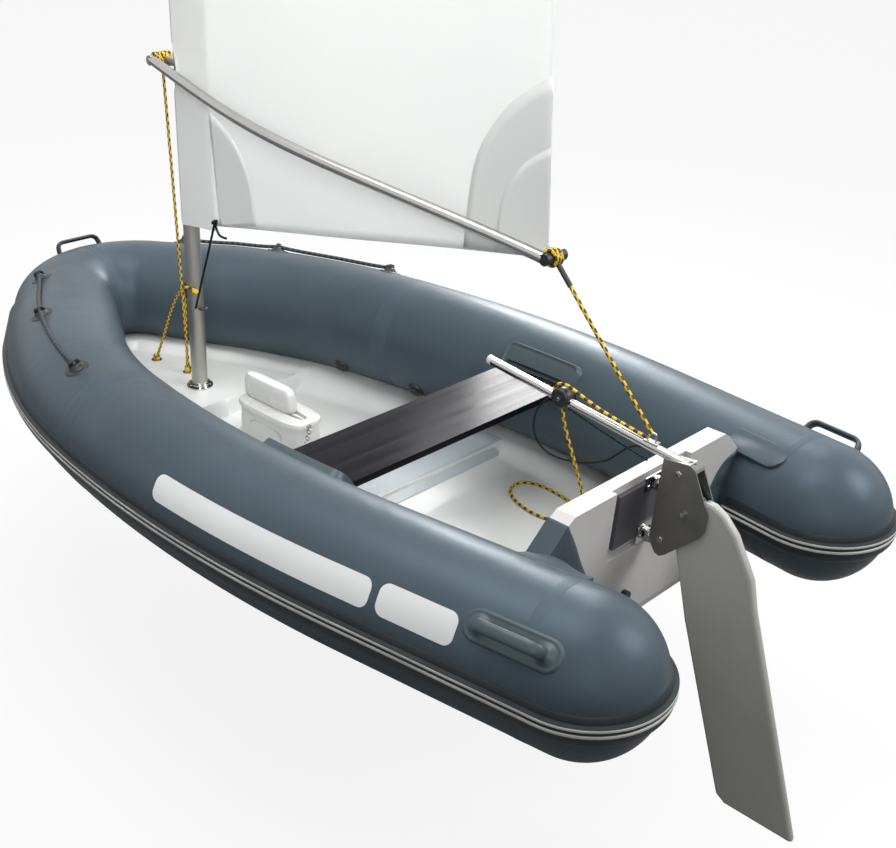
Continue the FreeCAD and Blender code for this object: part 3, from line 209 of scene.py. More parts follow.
def braid_group() -> bpy.types.NodeTree:
    """A braided rope's tracer mask and the relief of its strands, from metres along and turns around."""
    wires, given, out = new_group("braid", {"Vector": None, "Pitch": 0.02, "Share": 0.5},
                                  {"Tracer": "Float", "Height": "Float"})
    split = wires.node("SeparateXYZ", in_0=given["Vector"])
    along = wires.math("MULTIPLY", wires.math("DIVIDE", split.outputs[0], given["Pitch"]), math.tau)
    around = wires.math("MULTIPLY", split.outputs[1], math.tau)

    def crossed(first: NodeSocket, second: NodeSocket) -> list[NodeSocket]:
        """Two waves that run round the rope in opposite ways."""
        return [wires.math("SINE", wires.math(way, first, second)) for way in ("ADD", "SUBTRACT")]

    both = wires.math("MULTIPLY_ADD", wires.math("ADD", *crossed(along, around)), 0.25, 0.5)
    edge = wires.math("SUBTRACT", both, wires.math("SUBTRACT", 1.0, given["Share"]))
    wires.link(wires.ramp(edge, -0.03, 0.03), out["Tracer"])
    strands = crossed(wires.math("MULTIPLY", along, 6.0), wires.math("MULTIPLY", around, 4.0))
    wires.link(wires.math("MAXIMUM", *strands), out["Height"])
    return wires.tree


@dataclass
class Groups:
    """The shared shader groups, built once."""

    weathering: bpy.types.NodeTree = field(default_factory=weathering_group)
    weave: bpy.types.NodeTree = field(default_factory=weave_group)
    braid: bpy.types.NodeTree = field(default_factory=braid_group)


# Finishes


@dataclass(frozen=True)
class Finish:
    """A surface finish that is turned into one material."""

    name: str
    slot: str
    colour: Colour
    roughness: float = 0.4
    metallic: float = 0.0
    soil: Colour = (0.25, 0.23, 0.2)
    soiling: float = 0.12
    patch: float = 3.0
    drift: float = 0.12
    relief: float = 0.0
    relief_depth: float = 0.0002
    coat: float = 0.0
    sheen: float = 0.0
    weave: float = 0.0
    weave_depth: float = 0.00008
    brushed: float = 0.0
    tracer: Colour | None = None
    pitch: float = 0.02
    share: float = 0.5
    stripes: tuple[Pair, ...] = ()
    stripe_colour: Colour = (0.7, 0.72, 0.7)
    through: float = 0.0
    streaks: float = 0.0
    reflection: float = 0.5
    swell: float = 0.0
    swell_depth: float = 0.004
    tint: Colour = (1.0, 1.0, 1.0)

    def height(self, wires: Wiring, groups: Groups,
               place: bpy.types.Node) -> tuple[NodeSocket | None, float]:
        """The fine relief and its depth; None where the weathering gives it."""
        vector = place.outputs["Object"]
        if self.relief:
            grains = wires.node("TexNoise", in_Vector=vector, in_Scale=self.relief, in_Detail=2.0)
            return grains.outputs[0], self.relief_depth
        if self.brushed:
            drawn = wires.node("Mapping", in_Vector=vector,
                               in_Scale=(self.brushed, BRUSH_SCALE, BRUSH_SCALE))
            return wires.node("TexNoise", in_Vector=drawn.outputs[0], in_Scale=1.0).outputs[0], BRUSHED_DEPTH
        if self.weave:
            threads = wires.node("Group", node_tree=groups.weave, in_Vector=place.outputs["UV"],
                                 in_Threads=self.weave)
            return threads.outputs["Height"], self.weave_depth
        return None, self.relief_depth

    def stripe_mask(self, wires: Wiring, level: NodeSocket) -> NodeSocket:
        """A mask of the level stripes, with their edges softened."""
        mask = None
        for low, high in self.stripes:
            band = wires.math("MULTIPLY", wires.ramp(level, low - STRIPE_BLUR, low + STRIPE_BLUR),
                              wires.ramp(level, high + STRIPE_BLUR, high - STRIPE_BLUR))
            mask = band if mask is None else wires.math("MAXIMUM", mask, band)
        return mask

    def build(self, groups: Groups) -> bpy.types.Material:
        """The finish as a material.

        Args:
            groups: The shared shader groups.

        Returns:
            A node material on Object coordinates or, for weaves and braids, on the UV map.
        """
        material = bpy.data.materials.new(self.name)
        material.use_nodes = True
        wires = Wiring(material.node_tree)
        shader = material.node_tree.nodes["Principled BSDF"]
        for label, value in (("Metallic", self.metallic), ("Coat Weight", self.coat),
                             ("Coat Roughness", COAT_ROUGHNESS), ("Sheen Weight", self.sheen),
                             ("Specular IOR Level", self.reflection), ("Specular Tint", rgba(self.tint))):
            shader.inputs[label].default_value = value
        place = wires.node("TexCoord")
        vector = place.outputs["Object"]
        aged = wires.node("Group", node_tree=groups.weathering, in_Vector=vector,
                          in_Colour=rgba(self.colour), in_Soil=rgba(self.soil), in_Soiling=self.soiling,
                          in_Patch_size=self.patch, in_Roughness=self.roughness,
                          in_Roughness_drift=self.drift)
        wires.link(aged.outputs["Colour"], shader.inputs["Base Color"])
        wires.link(aged.outputs["Roughness"], shader.inputs["Roughness"])
        height, depth = self.height(wires, groups, place)
        if height is None:
            height = aged.outputs["Height"]
        share, second = None, self.soil
        if self.tracer is not None:
            strands = wires.node("Group", node_tree=groups.braid, in_Vector=place.outputs["UV"],
                                 in_Pitch=self.pitch, in_Share=self.share)
            share, second = strands.outputs["Tracer"], self.tracer
            height, depth = strands.outputs["Height"], BRAID_DEPTH
        elif self.stripes:
            level = wires.node("SeparateXYZ", in_0=vector).outputs[2]
            share, second = self.stripe_mask(wires, level), self.stripe_colour
        elif self.streaks:
            grain = wires.node("Mapping", in_Vector=vector,
                               in_Scale=(GRAIN_SCALE, self.streaks, GRAIN_SCALE))
            lines = wires.node("TexNoise", in_Vector=grain.outputs[0], in_Scale=1.0, in_Detail=6.0)
            share = wires.ramp(lines.outputs[0], 0.35, 0.7)
            wires.link(wires.math("MULTIPLY_ADD", share, self.drift, self.roughness),
                       shader.inputs["Roughness"])
        if share is not None:
            wires.link(wires.mix(share, rgba(self.colour), rgba(second)), aged.inputs["Colour"])
        normal = wires.node("Bump", in_Height=height, in_Strength=FINE_RELIEF, in_Distance=depth).outputs[0]
        if self.swell:
            folds = wires.node("TexNoise", in_Vector=vector, in_Scale=self.swell, in_Detail=3.0,
                               in_Distortion=0.6)
            normal = wires.node("Bump", in_Height=folds.outputs[0], in_Strength=WIDE_RELIEF,
                                in_Distance=self.swell_depth, in_Normal=normal).outputs[0]
        wires.link(normal, shader.inputs["Normal"])
        if self.through:
            glow = wires.node("BsdfTranslucent", in_Color=rgba(self.colour))
            both = wires.node("MixShader", in_0=self.through, in_1=shader.outputs[0], in_2=glow.outputs[0])
            wires.link(both.outputs[0], material.node_tree.nodes["Material Output"].inputs[0])
        return material


FINISHES = (
    Finish("coated_fabric", "tube_fabric", (0.068, 0.09, 0.107), 0.38, soil=(0.038, 0.05, 0.06),
           soiling=0.5, patch=2.2, weave=420.0, weave_depth=0.00003, drift=0.14, reflection=0.32, swell=5.0,
           swell_depth=0.006, tint=(0.55, 0.8, 1.0)),
    Finish("fabric_tape", "tube_fabric", (0.077, 0.104, 0.126), 0.44, soil=(0.042, 0.055, 0.066),
           soiling=0.4, patch=6.0, relief=700.0, relief_depth=0.00005, reflection=0.18,
           tint=(0.55, 0.8, 1.0)),
    Finish("flap_fabric", "tube_fabric", (0.066, 0.09, 0.106), 0.44, soil=(0.044, 0.06, 0.07),
           soiling=0.4, patch=8.0, relief=500.0, relief_depth=0.0001, reflection=0.2),
    Finish("moulded_rubber", "holder_rubber", (0.062, 0.088, 0.102), 0.36, soil=(0.04, 0.056, 0.064),
           soiling=0.3, patch=14.0, relief=500.0, relief_depth=0.0001, reflection=0.35),
    Finish("dark_rubber", "holder_rubber", (0.012, 0.016, 0.02), 0.42, soil=(0.035, 0.042, 0.05),
           soiling=0.3, patch=14.0, relief=500.0, relief_depth=0.0001),
    Finish("strake_rubber", "strake_rubber", (0.022, 0.028, 0.031), 0.42, soil=(0.05, 0.058, 0.064),
           soiling=0.35, patch=7.0, reflection=0.3, relief=260.0, relief_depth=0.00012,
           stripes=((0.1508, 0.1572), (0.1376, 0.144)), stripe_colour=(0.66, 0.67, 0.64)),
    Finish("gelcoat", "gelcoat", (0.74, 0.755, 0.74), 0.24, soil=(0.56, 0.575, 0.54), soiling=0.28,
           patch=4.0, coat=0.15, relief=8.0, relief_depth=0.0006),
    Finish("beam_coating", "gelcoat", (0.52, 0.58, 0.61), 0.26, soil=(0.4, 0.45, 0.47), soiling=0.3,
           patch=5.0, coat=0.3, relief=14.0, relief_depth=0.0004),
    Finish("transom_white", "gelcoat", (0.62, 0.61, 0.6), 0.4, soil=(0.5, 0.455, 0.455), soiling=0.35,
           patch=5.0, coat=0.05, relief=30.0, relief_depth=0.0003),
    Finish("pad_plastic", "pad_plastic", (0.07, 0.068, 0.08), 0.5, soil=(0.16, 0.15, 0.17),
           soiling=0.35, patch=12.0, relief=350.0, relief_depth=0.0003),
    Finish("dark_board", "thwart_board", (0.003, 0.0026, 0.004), 0.15, soil=(0.01, 0.009, 0.014),
           drift=0.09, patch=3.0, coat=0.0, relief=40.0, relief_depth=0.0001, streaks=1.6,
           reflection=0.06),
    # Rudder blade: a grey laminate whose base colour is also darkened as painted shade for the shadow the
    # blade stands in
    Finish("blade_laminate", "white_plastic", (0.5, 0.5, 0.47), 0.42, soil=(0.38, 0.38, 0.355),
           soiling=0.4, patch=4.0, relief=60.0, relief_depth=0.0002),
    Finish("case_white", "white_plastic", (0.7, 0.7, 0.69), 0.26, soil=(0.56, 0.56, 0.54),
           soiling=0.25, patch=9.0, coat=0.25, relief=50.0, relief_depth=0.0002),
    Finish("recess_shade", "white_plastic", (0.5, 0.49, 0.46), 0.4, soil=(0.4, 0.39, 0.36),
           soiling=0.3, patch=9.0, relief=50.0, relief_depth=0.0002),
    Finish("polished_steel", "polished_steel", (0.5, 0.5, 0.49), 0.14, 1.0, soil=(0.2, 0.19, 0.18),
           soiling=0.25, patch=40.0, relief=200.0, relief_depth=0.00006),
    Finish("bright_alloy", "alloy", (0.5, 0.495, 0.48), 0.24, 1.0, soil=(0.32, 0.315, 0.3),
           soiling=0.25, patch=12.0, brushed=8.0),
    Finish("dull_alloy", "alloy", (0.46, 0.45, 0.42), 0.44, 1.0, soil=(0.33, 0.32, 0.3),
           soiling=0.3, patch=9.0, brushed=6.0),
    Finish("stock_plate", "stock_alloy", (0.21, 0.205, 0.19), 0.44, 0.6, soil=(0.13, 0.125, 0.11),
           soiling=0.5, patch=16.0, relief=120.0, relief_depth=0.0001),
    Finish("black_plastic", "black_plastic", (0.012, 0.012, 0.013), 0.4, soil=(0.035, 0.035, 0.035),
           soiling=0.3, patch=20.0, relief=300.0, relief_depth=0.0001),
    Finish("sailcloth", "sailcloth", (0.92, 0.93, 0.92), 0.62, soil=(0.87, 0.89, 0.89), soiling=0.35,
           patch=1.6, weave=500.0, weave_depth=0.00006, sheen=0.15, through=0.5, swell=1.6,
           swell_depth=0.02),
    Finish("sail_patch", "sailcloth", (0.92, 0.93, 0.92), 0.6, soil=(0.87, 0.885, 0.88), soiling=0.3,
           patch=3.0, relief=600.0, relief_depth=0.00008, sheen=0.1, through=0.2),
    Finish("panel_white", "tube_fabric", (0.84, 0.85, 0.85), 0.3, soil=(0.68, 0.69, 0.69), soiling=0.25,
           patch=6.0, relief=400.0, relief_depth=0.00004, coat=0.15),
    Finish("yellow_braid", "braid", (0.82, 0.54, 0.02), 0.62, soil=(0.5, 0.33, 0.03), soiling=0.3,
           patch=30.0, tracer=(0.012, 0.012, 0.012), pitch=0.024, share=0.48),
    Finish("dark_braid", "dark_cord", (0.008, 0.011, 0.011), 0.7, soil=(0.02, 0.024, 0.024), soiling=0.3,
           patch=30.0, reflection=0.15, tracer=(0.004, 0.05, 0.035), pitch=0.016, share=0.25),
    Finish("lifeline_braid", "braid", (0.02, 0.024, 0.028), 0.66, soil=(0.06, 0.065, 0.07), soiling=0.4,
           patch=30.0, tracer=(0.075, 0.085, 0.095), pitch=0.02, share=0.4),
)


@dataclass
class Dressing:
    """Materials by name, and the calls that put them on pieces and attach the pieces to their bodies."""

    materials: dict[str, bpy.types.Material] = field(default_factory=dict)
    slots: dict[str, str] = field(default_factory=dict)

    def prepare(self) -> None:
        """Build every finish."""
        groups = Groups()
        for finish in FINISHES:
            self.materials[finish.name] = finish.build(groups)
            self.slots[finish.name] = finish.slot

    def dress(self, piece: Piece, finish: str) -> Piece:
        """Give a piece one finish all over."""
        piece.data.materials.clear()
        piece.data.materials.append(self.materials[finish])
        return piece

    def piece(self, made: Piece, finish: str, body: str,
              replaced: Sequence[str] = ()) -> Piece:
        """Finish a new piece: material, body and the CAD nodes it stands for.

        Args:
            made: The finished mesh or curve.
            finish: Name of its finish.
            body: CAD body that it moves with.
            replaced: CAD nodes that it stands for.

        Returns:
            The same piece.
        """
        self.dress(made, finish)
        if replaced:
            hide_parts(*replaced)
        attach(made, body)
        LOG.info("%s rides on %s", made.name, body)
        return made


# Modelling steps


def clear_selection() -> None:
    """Leave nothing selected and nothing active."""
    if bpy.context.object is not None and bpy.context.object.mode != "OBJECT":
        bpy.ops.object.mode_set(mode="OBJECT")
    bpy.ops.object.select_all(action="DESELECT")


def take(name: str) -> Piece:
    """Name the primitive that was just added."""
    made = bpy.context.object
    made.name = name
    made.data.name = name
    return made


def choose(*pieces: Piece) -> None:
    """Select these pieces, the first one active."""
    clear_selection()
    for piece in pieces:
        piece.select_set(True)
    bpy.context.view_layer.objects.active = pieces[0]


def place_in_mesh(piece: Piece) -> Piece:
    """Move an object's place into its mesh, so that the object sits at the origin."""
    choose(piece)
    bpy.ops.object.transform_apply(location=True, rotation=True, scale=True)
    return piece


def edited(piece: Piece, *steps: Callable[[], object]) -> Piece:
    """Run mesh operators in edit mode, each one on the whole piece."""
    choose(piece)
    bpy.ops.object.mode_set(mode="EDIT")
    for step in steps:
        bpy.ops.mesh.select_all(action="SELECT")
        step()
    bpy.ops.object.mode_set(mode="OBJECT")
    return piece


def merge_doubles() -> None:
    """Merge the selected points that lie in one place."""
    bpy.ops.mesh.remove_doubles(threshold=MERGE)


def face_outwards() -> None:
    """Turn the selected faces outwards."""
    bpy.ops.mesh.normals_make_consistent(inside=False)


def shade(piece: Piece, angle: float) -> Piece:
    """Shade smooth up to an angle in degrees."""
    choose(piece)
    bpy.ops.object.shade_smooth_by_angle(angle=math.radians(angle))
    return piece


def raked(face: float, height: float) -> float:
    """Station of a raked face of the transom at a height, from its station at the top."""
    return face + (TRANSOM_TOP - height) * TRANSOM_RAKE


def by_step(along: float, around: float) -> Callable[[int, int], Pair]:
    """UVs in metres for a grid of even steps."""
    return lambda column, row: (column * along, row * around)


def settle(piece: Piece, smooth: float = 40.0) -> Piece:
    """Merge doubles, turn faces outwards and shade by angle.

    Args:
        piece: The mesh to clean.
        smooth: Largest angle in degrees that still shades smooth.

    Returns:
        The same piece.
    """
    return shade(edited(piece, merge_doubles, face_outwards), smooth)


def apply_modifier(piece: Piece, kind: str, **values: object) -> Piece:
    """Add a modifier, set it and apply it."""
    choose(piece)
    modifier = piece.modifiers.new(kind.title(), kind)
    for name, value in values.items():
        setattr(modifier, name, value)
    bpy.ops.object.modifier_apply(modifier=modifier.name)
    return piece


def bevelled(piece: Piece, width: float, segments: int = 3,
             angle: float = 35.0) -> Piece:
    """Round a piece's sharp edges."""
    return apply_modifier(piece, "BEVEL", width=width, segments=segments, limit_method="ANGLE",
                          angle_limit=math.radians(angle), harden_normals=False)


def joined(name: str, pieces: Sequence[Piece]) -> Piece:
    """Join pieces into one mesh."""
    choose(*pieces)
    if len(pieces) > 1:
        bpy.ops.object.join()
    return take(name)


def drum(name: str, centre: Vector, axis: Vector, radius: float, length: float, sides: int = 40,
         bevel: float = 0.0, top: float | None = None) -> Piece:
    """A turned piece: a cylinder or cone round an axis, with rounded rims.

    Args:
        name: Name of the piece.
        centre: Middle of its length.
        axis: Direction of its length.
        radius: Radius at the low end.
        length: Length along the axis.
        sides: Number of sides.
        bevel: Width of the rounded rims.
        top: Radius at the high end, if it differs.

    Returns:
        The piece, placed in its mesh.
    """
    clear_selection()
    turn = Vector(axis).to_track_quat("Z", "Y").to_euler()
    bpy.ops.mesh.primitive_cone_add(vertices=sides, radius1=radius, radius2=radius if top is None else top,
                                    depth=length, location=centre, rotation=turn)
    made = place_in_mesh(take(name))
    if bevel:
        bevelled(made, bevel)
    return settle(made)


def brick(name: str, low: Sequence[float], high: Sequence[float], bevel: float) -> Piece:
    """A box between two corners with rounded edges."""
    clear_selection()
    low, high = Vector(low), Vector(high)
    bpy.ops.mesh.primitive_cube_add(size=1, location=(low + high) / 2)
    made = take(name)
    made.scale = high - low
    place_in_mesh(made)
    bevelled(made, bevel)
    return settle(made)


def grid_skin(name: str, columns: int, rows: int, spot: Callable[[int, int], Vector],
              measure: Callable[[int, int], Pair], close: bool = False) -> Piece:
    """A grid primitive whose points are moved to their places on a surface.

    Args:
        name: Name of the piece.
        columns: Number of faces along the first direction.
        rows: Number of faces along the second.
        spot: Place of a point from its column and row.
        measure: Its UV, in metres.
        close: Fill the open ends.

    Returns:
        The cleaned mesh.
    """
    clear_selection()
    bpy.ops.mesh.primitive_grid_add(x_subdivisions=columns, y_subdivisions=rows, size=1,
                                    calc_uvs=True, location=(0, 0, 0))
    made = take(name)
    for loop in made.data.uv_layers.active.data:
        loop.uv = measure(round(loop.uv[0] * columns), round(loop.uv[1] * rows))
    for vertex in made.data.vertices:
        vertex.co = spot(round((vertex.co.x + 0.5) * columns), round((vertex.co.y + 0.5) * rows))
    edited(made, merge_doubles)
    if close:
        edited(made, lambda: bpy.ops.mesh.fill_holes(sides=0))
    return settle(made)


def plate(name: str, outline: Sequence[Pair], place: Callable[[float, float], Vector],
          push: Vector, bevel: float = 0.0) -> Piece:
    """A flat outline extruded to a plate.

    Args:
        name: Name of the piece.
        outline: Corners in the plate's own two directions.
        place: Where a corner stands.
        push: The extrusion.
        bevel: Width of the rounded edges.

    Returns:
        The closed plate.
    """
    clear_selection()
    bpy.ops.mesh.primitive_circle_add(vertices=len(outline), radius=1, fill_type="NGON")
    made = take(name)
    for vertex, corner in zip(made.data.vertices, outline):
        vertex.co = place(*corner)
    edited(made, lambda: bpy.ops.mesh.extrude_region_move(TRANSFORM_OT_translate={"value": push}),
           face_outwards)
    if bevel:
        bevelled(made, bevel)
    return settle(made)


def route_points(points: Sequence[Sequence[float]], resolution: int = 12) -> list[Vector]:
    """Points along the smooth line through a route's control points.

    Args:
        points: Control points in metres.
        resolution: Points for each span.

    Returns:
        Points of the NURBS line, from its first to its last control point.
    """
    curve = bpy.data.curves.new("route", "CURVE")
    curve.dimensions = "3D"
    spline = curve.splines.new("NURBS")
    spline.points.add(len(points) - 1)
    for control, point in zip(spline.points, points):
        control.co = (*point, 1.0)
    spline.order_u = 3
    spline.use_endpoint_u = True
    spline.resolution_u = resolution
    holder = bpy.data.objects.new("route", curve)
    bpy.context.scene.collection.objects.link(holder)
    bpy.context.view_layer.update()
    mesh = bpy.data.meshes.new_from_object(holder.evaluated_get(bpy.context.evaluated_depsgraph_get()))
    line = [vertex.co.copy() for vertex in mesh.vertices]
    bpy.data.objects.remove(holder)
    bpy.data.curves.remove(curve)
    bpy.data.meshes.remove(mesh)
    return line


def rope_mesh(name: str, line: Sequence[Vector], radius: float, sides: int = 14,
              wobble: float = 0.0) -> Piece:
    """A round rope along a line, with UVs in metres along and turns around.

    Args:
        name: Name of the piece.
        line: Points that the rope follows.
        radius: Its radius.
        sides: Sides of its section.
        wobble: Depth of the strands' relief.

    Returns:
        The closed rope.
    """
    count = len(line)
    headings = [(line[min(i + 1, count - 1)] - line[max(i - 1, 0)]).normalized() for i in range(count)]
    normal = headings[0].orthogonal().normalized()
    frames = []
    run = [0.0]
    for index, heading in enumerate(headings):
        normal = (normal - heading * normal.dot(heading)).normalized()
        frames.append((normal.copy(), heading.cross(normal)))
        if index:
            run.append(run[-1] + (line[index] - line[index - 1]).length)

    def spot(column: int, row: int) -> Vector:
        """A point of the rope's surface."""
        angle = math.tau * (row % sides) / sides
        across, up = frames[column]
        reach = radius * (1 + wobble * math.sin(angle * 3 + run[column] * 600))
        return line[column] + (across * math.cos(angle) + up * math.sin(angle)) * reach

    return grid_skin(name, count - 1, sides, spot,
                     lambda column, row: (run[column], row / sides), close=True)


# The tubes' plan, as in the part's source


def ahead_at(heading: float) -> Vector:
    """Level direction at a heading."""
    return Vector((math.cos(heading), math.sin(heading), 0))


def beside(heading: float) -> Vector:
    """Level direction to port of a heading."""
    return Vector((-math.sin(heading), math.cos(heading), 0))


@dataclass(frozen=True)
class Station:
    """A place on the port tube's centreline."""

    point: Vector
    heading: float
    radius: float

    @property
    def forward(self) -> Vector:
        """Direction of the centreline."""
        return ahead_at(self.heading)

    @property
    def outward(self) -> Vector:
        """Level direction away from the boat's centreline."""
        return beside(self.heading)


@dataclass(frozen=True)
class Stretch:
    """One line or arc of the plan."""

    start: Vector
    heading: float
    length: float
    bend: float = 0.0
    low: float = 0.17
    high: float = 0.17

    def at(self, along: float) -> Station:
        """The station at a length along the stretch."""
        radius = self.low + (self.high - self.low) * along / self.length
        if not self.bend:
            return Station(self.start + ahead_at(self.heading) * along, self.heading, radius)
        turned = self.heading - along / self.bend
        centre = self.start - beside(self.heading) * self.bend
        return Station(centre + beside(turned) * self.bend, turned, radius)


@dataclass
class TubePlan:
    """The port tube's centreline: tail line, side arc, shoulder arc, bow line and nose arc."""

    stern: Vector = field(default_factory=lambda: Vector((-1.205, 0.461, 0.150)))
    radius: float = 0.170
    bow_radius: float = 0.158
    toe: float = math.radians(7.5)
    tail: float = 0.520
    side: Pair = (3.480, math.radians(16.4))
    shoulder: Pair = (1.620, math.radians(22))
    nose: float = 0.203
    bulkhead: float = 1.466
    cone: float = 0.060
    stretches: list[Stretch] = field(default_factory=list)

    def __post_init__(self) -> None:
        """Work out the stretches."""
        heading = self.toe
        self.stretches.append(Stretch(self.stern, heading, self.tail))
        for bend, turn in (self.side, self.shoulder):
            last = self.stretches[-1]
            self.stretches.append(Stretch(last.at(last.length).point, heading, bend * turn, bend))
            heading -= turn
        last = self.stretches[-1]
        start = last.at(last.length).point
        length = (start.y - self.nose * math.cos(heading)) / -math.sin(heading)
        self.stretches.append(Stretch(start, heading, length, 0.0, self.radius, self.bow_radius))
        last = self.stretches[-1]
        self.stretches.append(Stretch(last.at(length).point, heading, self.nose * (math.pi / 2 + heading),
                                      self.nose, self.bow_radius, self.bow_radius))

    @property
    def length(self) -> float:
        """Length of the centreline from the stern to the boat's centreline."""
        return sum(stretch.length for stretch in self.stretches)

    def at(self, along: float) -> Station:
        """The station at a length from the tail's centre; a negative length is straight aft."""
        passed = 0.0
        for stretch in self.stretches:
            if along <= passed + stretch.length or stretch is self.stretches[-1]:
                return stretch.at(along - passed)
            passed += stretch.length
        raise ValueError("no such length")

    def spot(self, along: float, angle: float, side: Side, lift: float = 0.0) -> Vector:
        """A point over the tube's skin: angle 0 is outboard, 90 on top and 180 inboard."""
        station = self.at(along)
        reach = station.radius + lift
        point = station.point + station.outward * reach * math.cos(math.radians(angle))
        point.z += reach * math.sin(math.radians(angle))
        return side.mirrored(point)


PLAN = TubePlan()


def smooth_step(share: float) -> float:
    """0 to 1 with a level start and end."""
    share = min(1.0, max(0.0, share))
    return share * share * (3 - 2 * share)


def rounded_box(x: float, y: float, half_x: float, half_y: float, corner: float) -> float:
    """Distance inside a rounded rectangle's edge; negative outside."""
    over_x, over_y = abs(x) - half_x + corner, abs(y) - half_y + corner
    return corner - math.hypot(max(over_x, 0), max(over_y, 0)) - min(max(over_x, over_y), 0)


def through_points(points: Sequence[Pair], x: float) -> float:
    """A smooth curve through points, read at a station."""
    if x <= points[0][0]:
        return points[0][1]
    for index in range(len(points) - 1):
        (x0, z0), (x1, z1) = points[index], points[index + 1]
        if x <= x1:
            before, after = points[max(index - 1, 0)], points[min(index + 2, len(points) - 1)]
            slope0 = (z1 - before[1]) / (x1 - before[0])
            slope1 = (after[1] - z0) / (after[0] - x0)
            run = x1 - x0
            t = (x - x0) / run
            return ((2 * t ** 3 - 3 * t ** 2 + 1) * z0 + (t ** 3 - 2 * t ** 2 + t) * run * slope0
                    + (3 * t ** 2 - 2 * t ** 3) * z1 + (t ** 3 - t ** 2) * run * slope1)
    return points[-1][1]


def blister(name: str, side: Side, begin: float, end: float, low: float, high: float,
            lift: Callable[[float, float], float], step: float = 0.003) -> Piece:
    """A raised form on the tube's skin.

    Args:
        name: Name of the piece.
        side: Its side of the boat.
        begin: Length at its aft end.
        end: Length at its fore end.
        low: Lowest angle.
        high: Highest angle.
        lift: Height over the skin from metres along and around, measured from the middle.
        step: Size of the faces.

    Returns:
        The closed form, with its underside inside the tube.
    """
    half_length = (end - begin) / 2
    half_width = math.radians(high - low) / 2 * PLAN.radius
    columns = max(6, round(2 * half_length / step))
    rows = max(6, round(2 * half_width / step))
    under, floor, rim = 6, -0.003, -0.002
    loop = [(index / rows, False) for index in range(rows + 1)]
    loop += [(1 - index / under, True) for index in range(under + 1)]
    loop.append(loop[0])

    def spot(column: int, row: int) -> Vector:
        """A point of the form."""
        share, below = loop[row]
        along = half_length * (2 * column / columns - 1)
        around = half_width * (2 * share - 1)
        rise = floor if below else max(rim, lift(along, around))
        if not below and (column in (0, columns) or share in (0.0, 1.0)):
            rise = rim
        return PLAN.spot((begin + end) / 2 + along, (low + high) / 2 + math.degrees(around / PLAN.radius),
                         side, rise)

    return grid_skin(name, columns, len(loop) - 1, spot, by_step(step, step), close=True)


def arch(name: str, origin: Vector, along: Vector, out: Vector, span: float, rise: float,
         radius: float, foot: float = 0.0) -> Piece:
    """A round bar bent to a flat arch.

    Args:
        name: Name of the piece.
        origin: Middle of the arch on the surface.
        along: Direction of its span.
        out: Direction away from the surface.
        span: Distance of its feet.
        rise: Height of its middle.
        radius: Radius of the bar.
        foot: Depth of its ends under the surface.

    Returns:
        The closed bar.
    """
    half = span / 2
    leg = [(1.0, -foot), (1.02, rise * 0.35), (0.86, rise * 1.04), (0.4, rise * 1.04)]
    points = [(-half * share, height) for share, height in leg]
    points += [(half * share, height) for share, height in reversed(leg)]
    line = route_points([origin + along * x + out * z for x, z in points], 8)
    return rope_mesh(name, line, radius, 20)


def widened(piece: Piece, origin: Vector, across: Vector, factor: float) -> Piece:
    """Stretch a piece across a plane through a point."""
    for vertex in piece.data.vertices:
        vertex.co += across * ((vertex.co - origin).dot(across) * (factor - 1))
    return piece


def skin_frame(run: float, angle: float, side: Side) -> tuple[Vector, Vector, Vector]:
    """Place on the tube's skin, its direction along the tube and straight out of it."""
    station = PLAN.at(run)
    normal = station.outward * math.cos(math.radians(angle)) + Vector((0, 0, math.sin(math.radians(angle))))
    return PLAN.spot(run, angle, side), side.mirrored(station.forward), side.mirrored(normal)


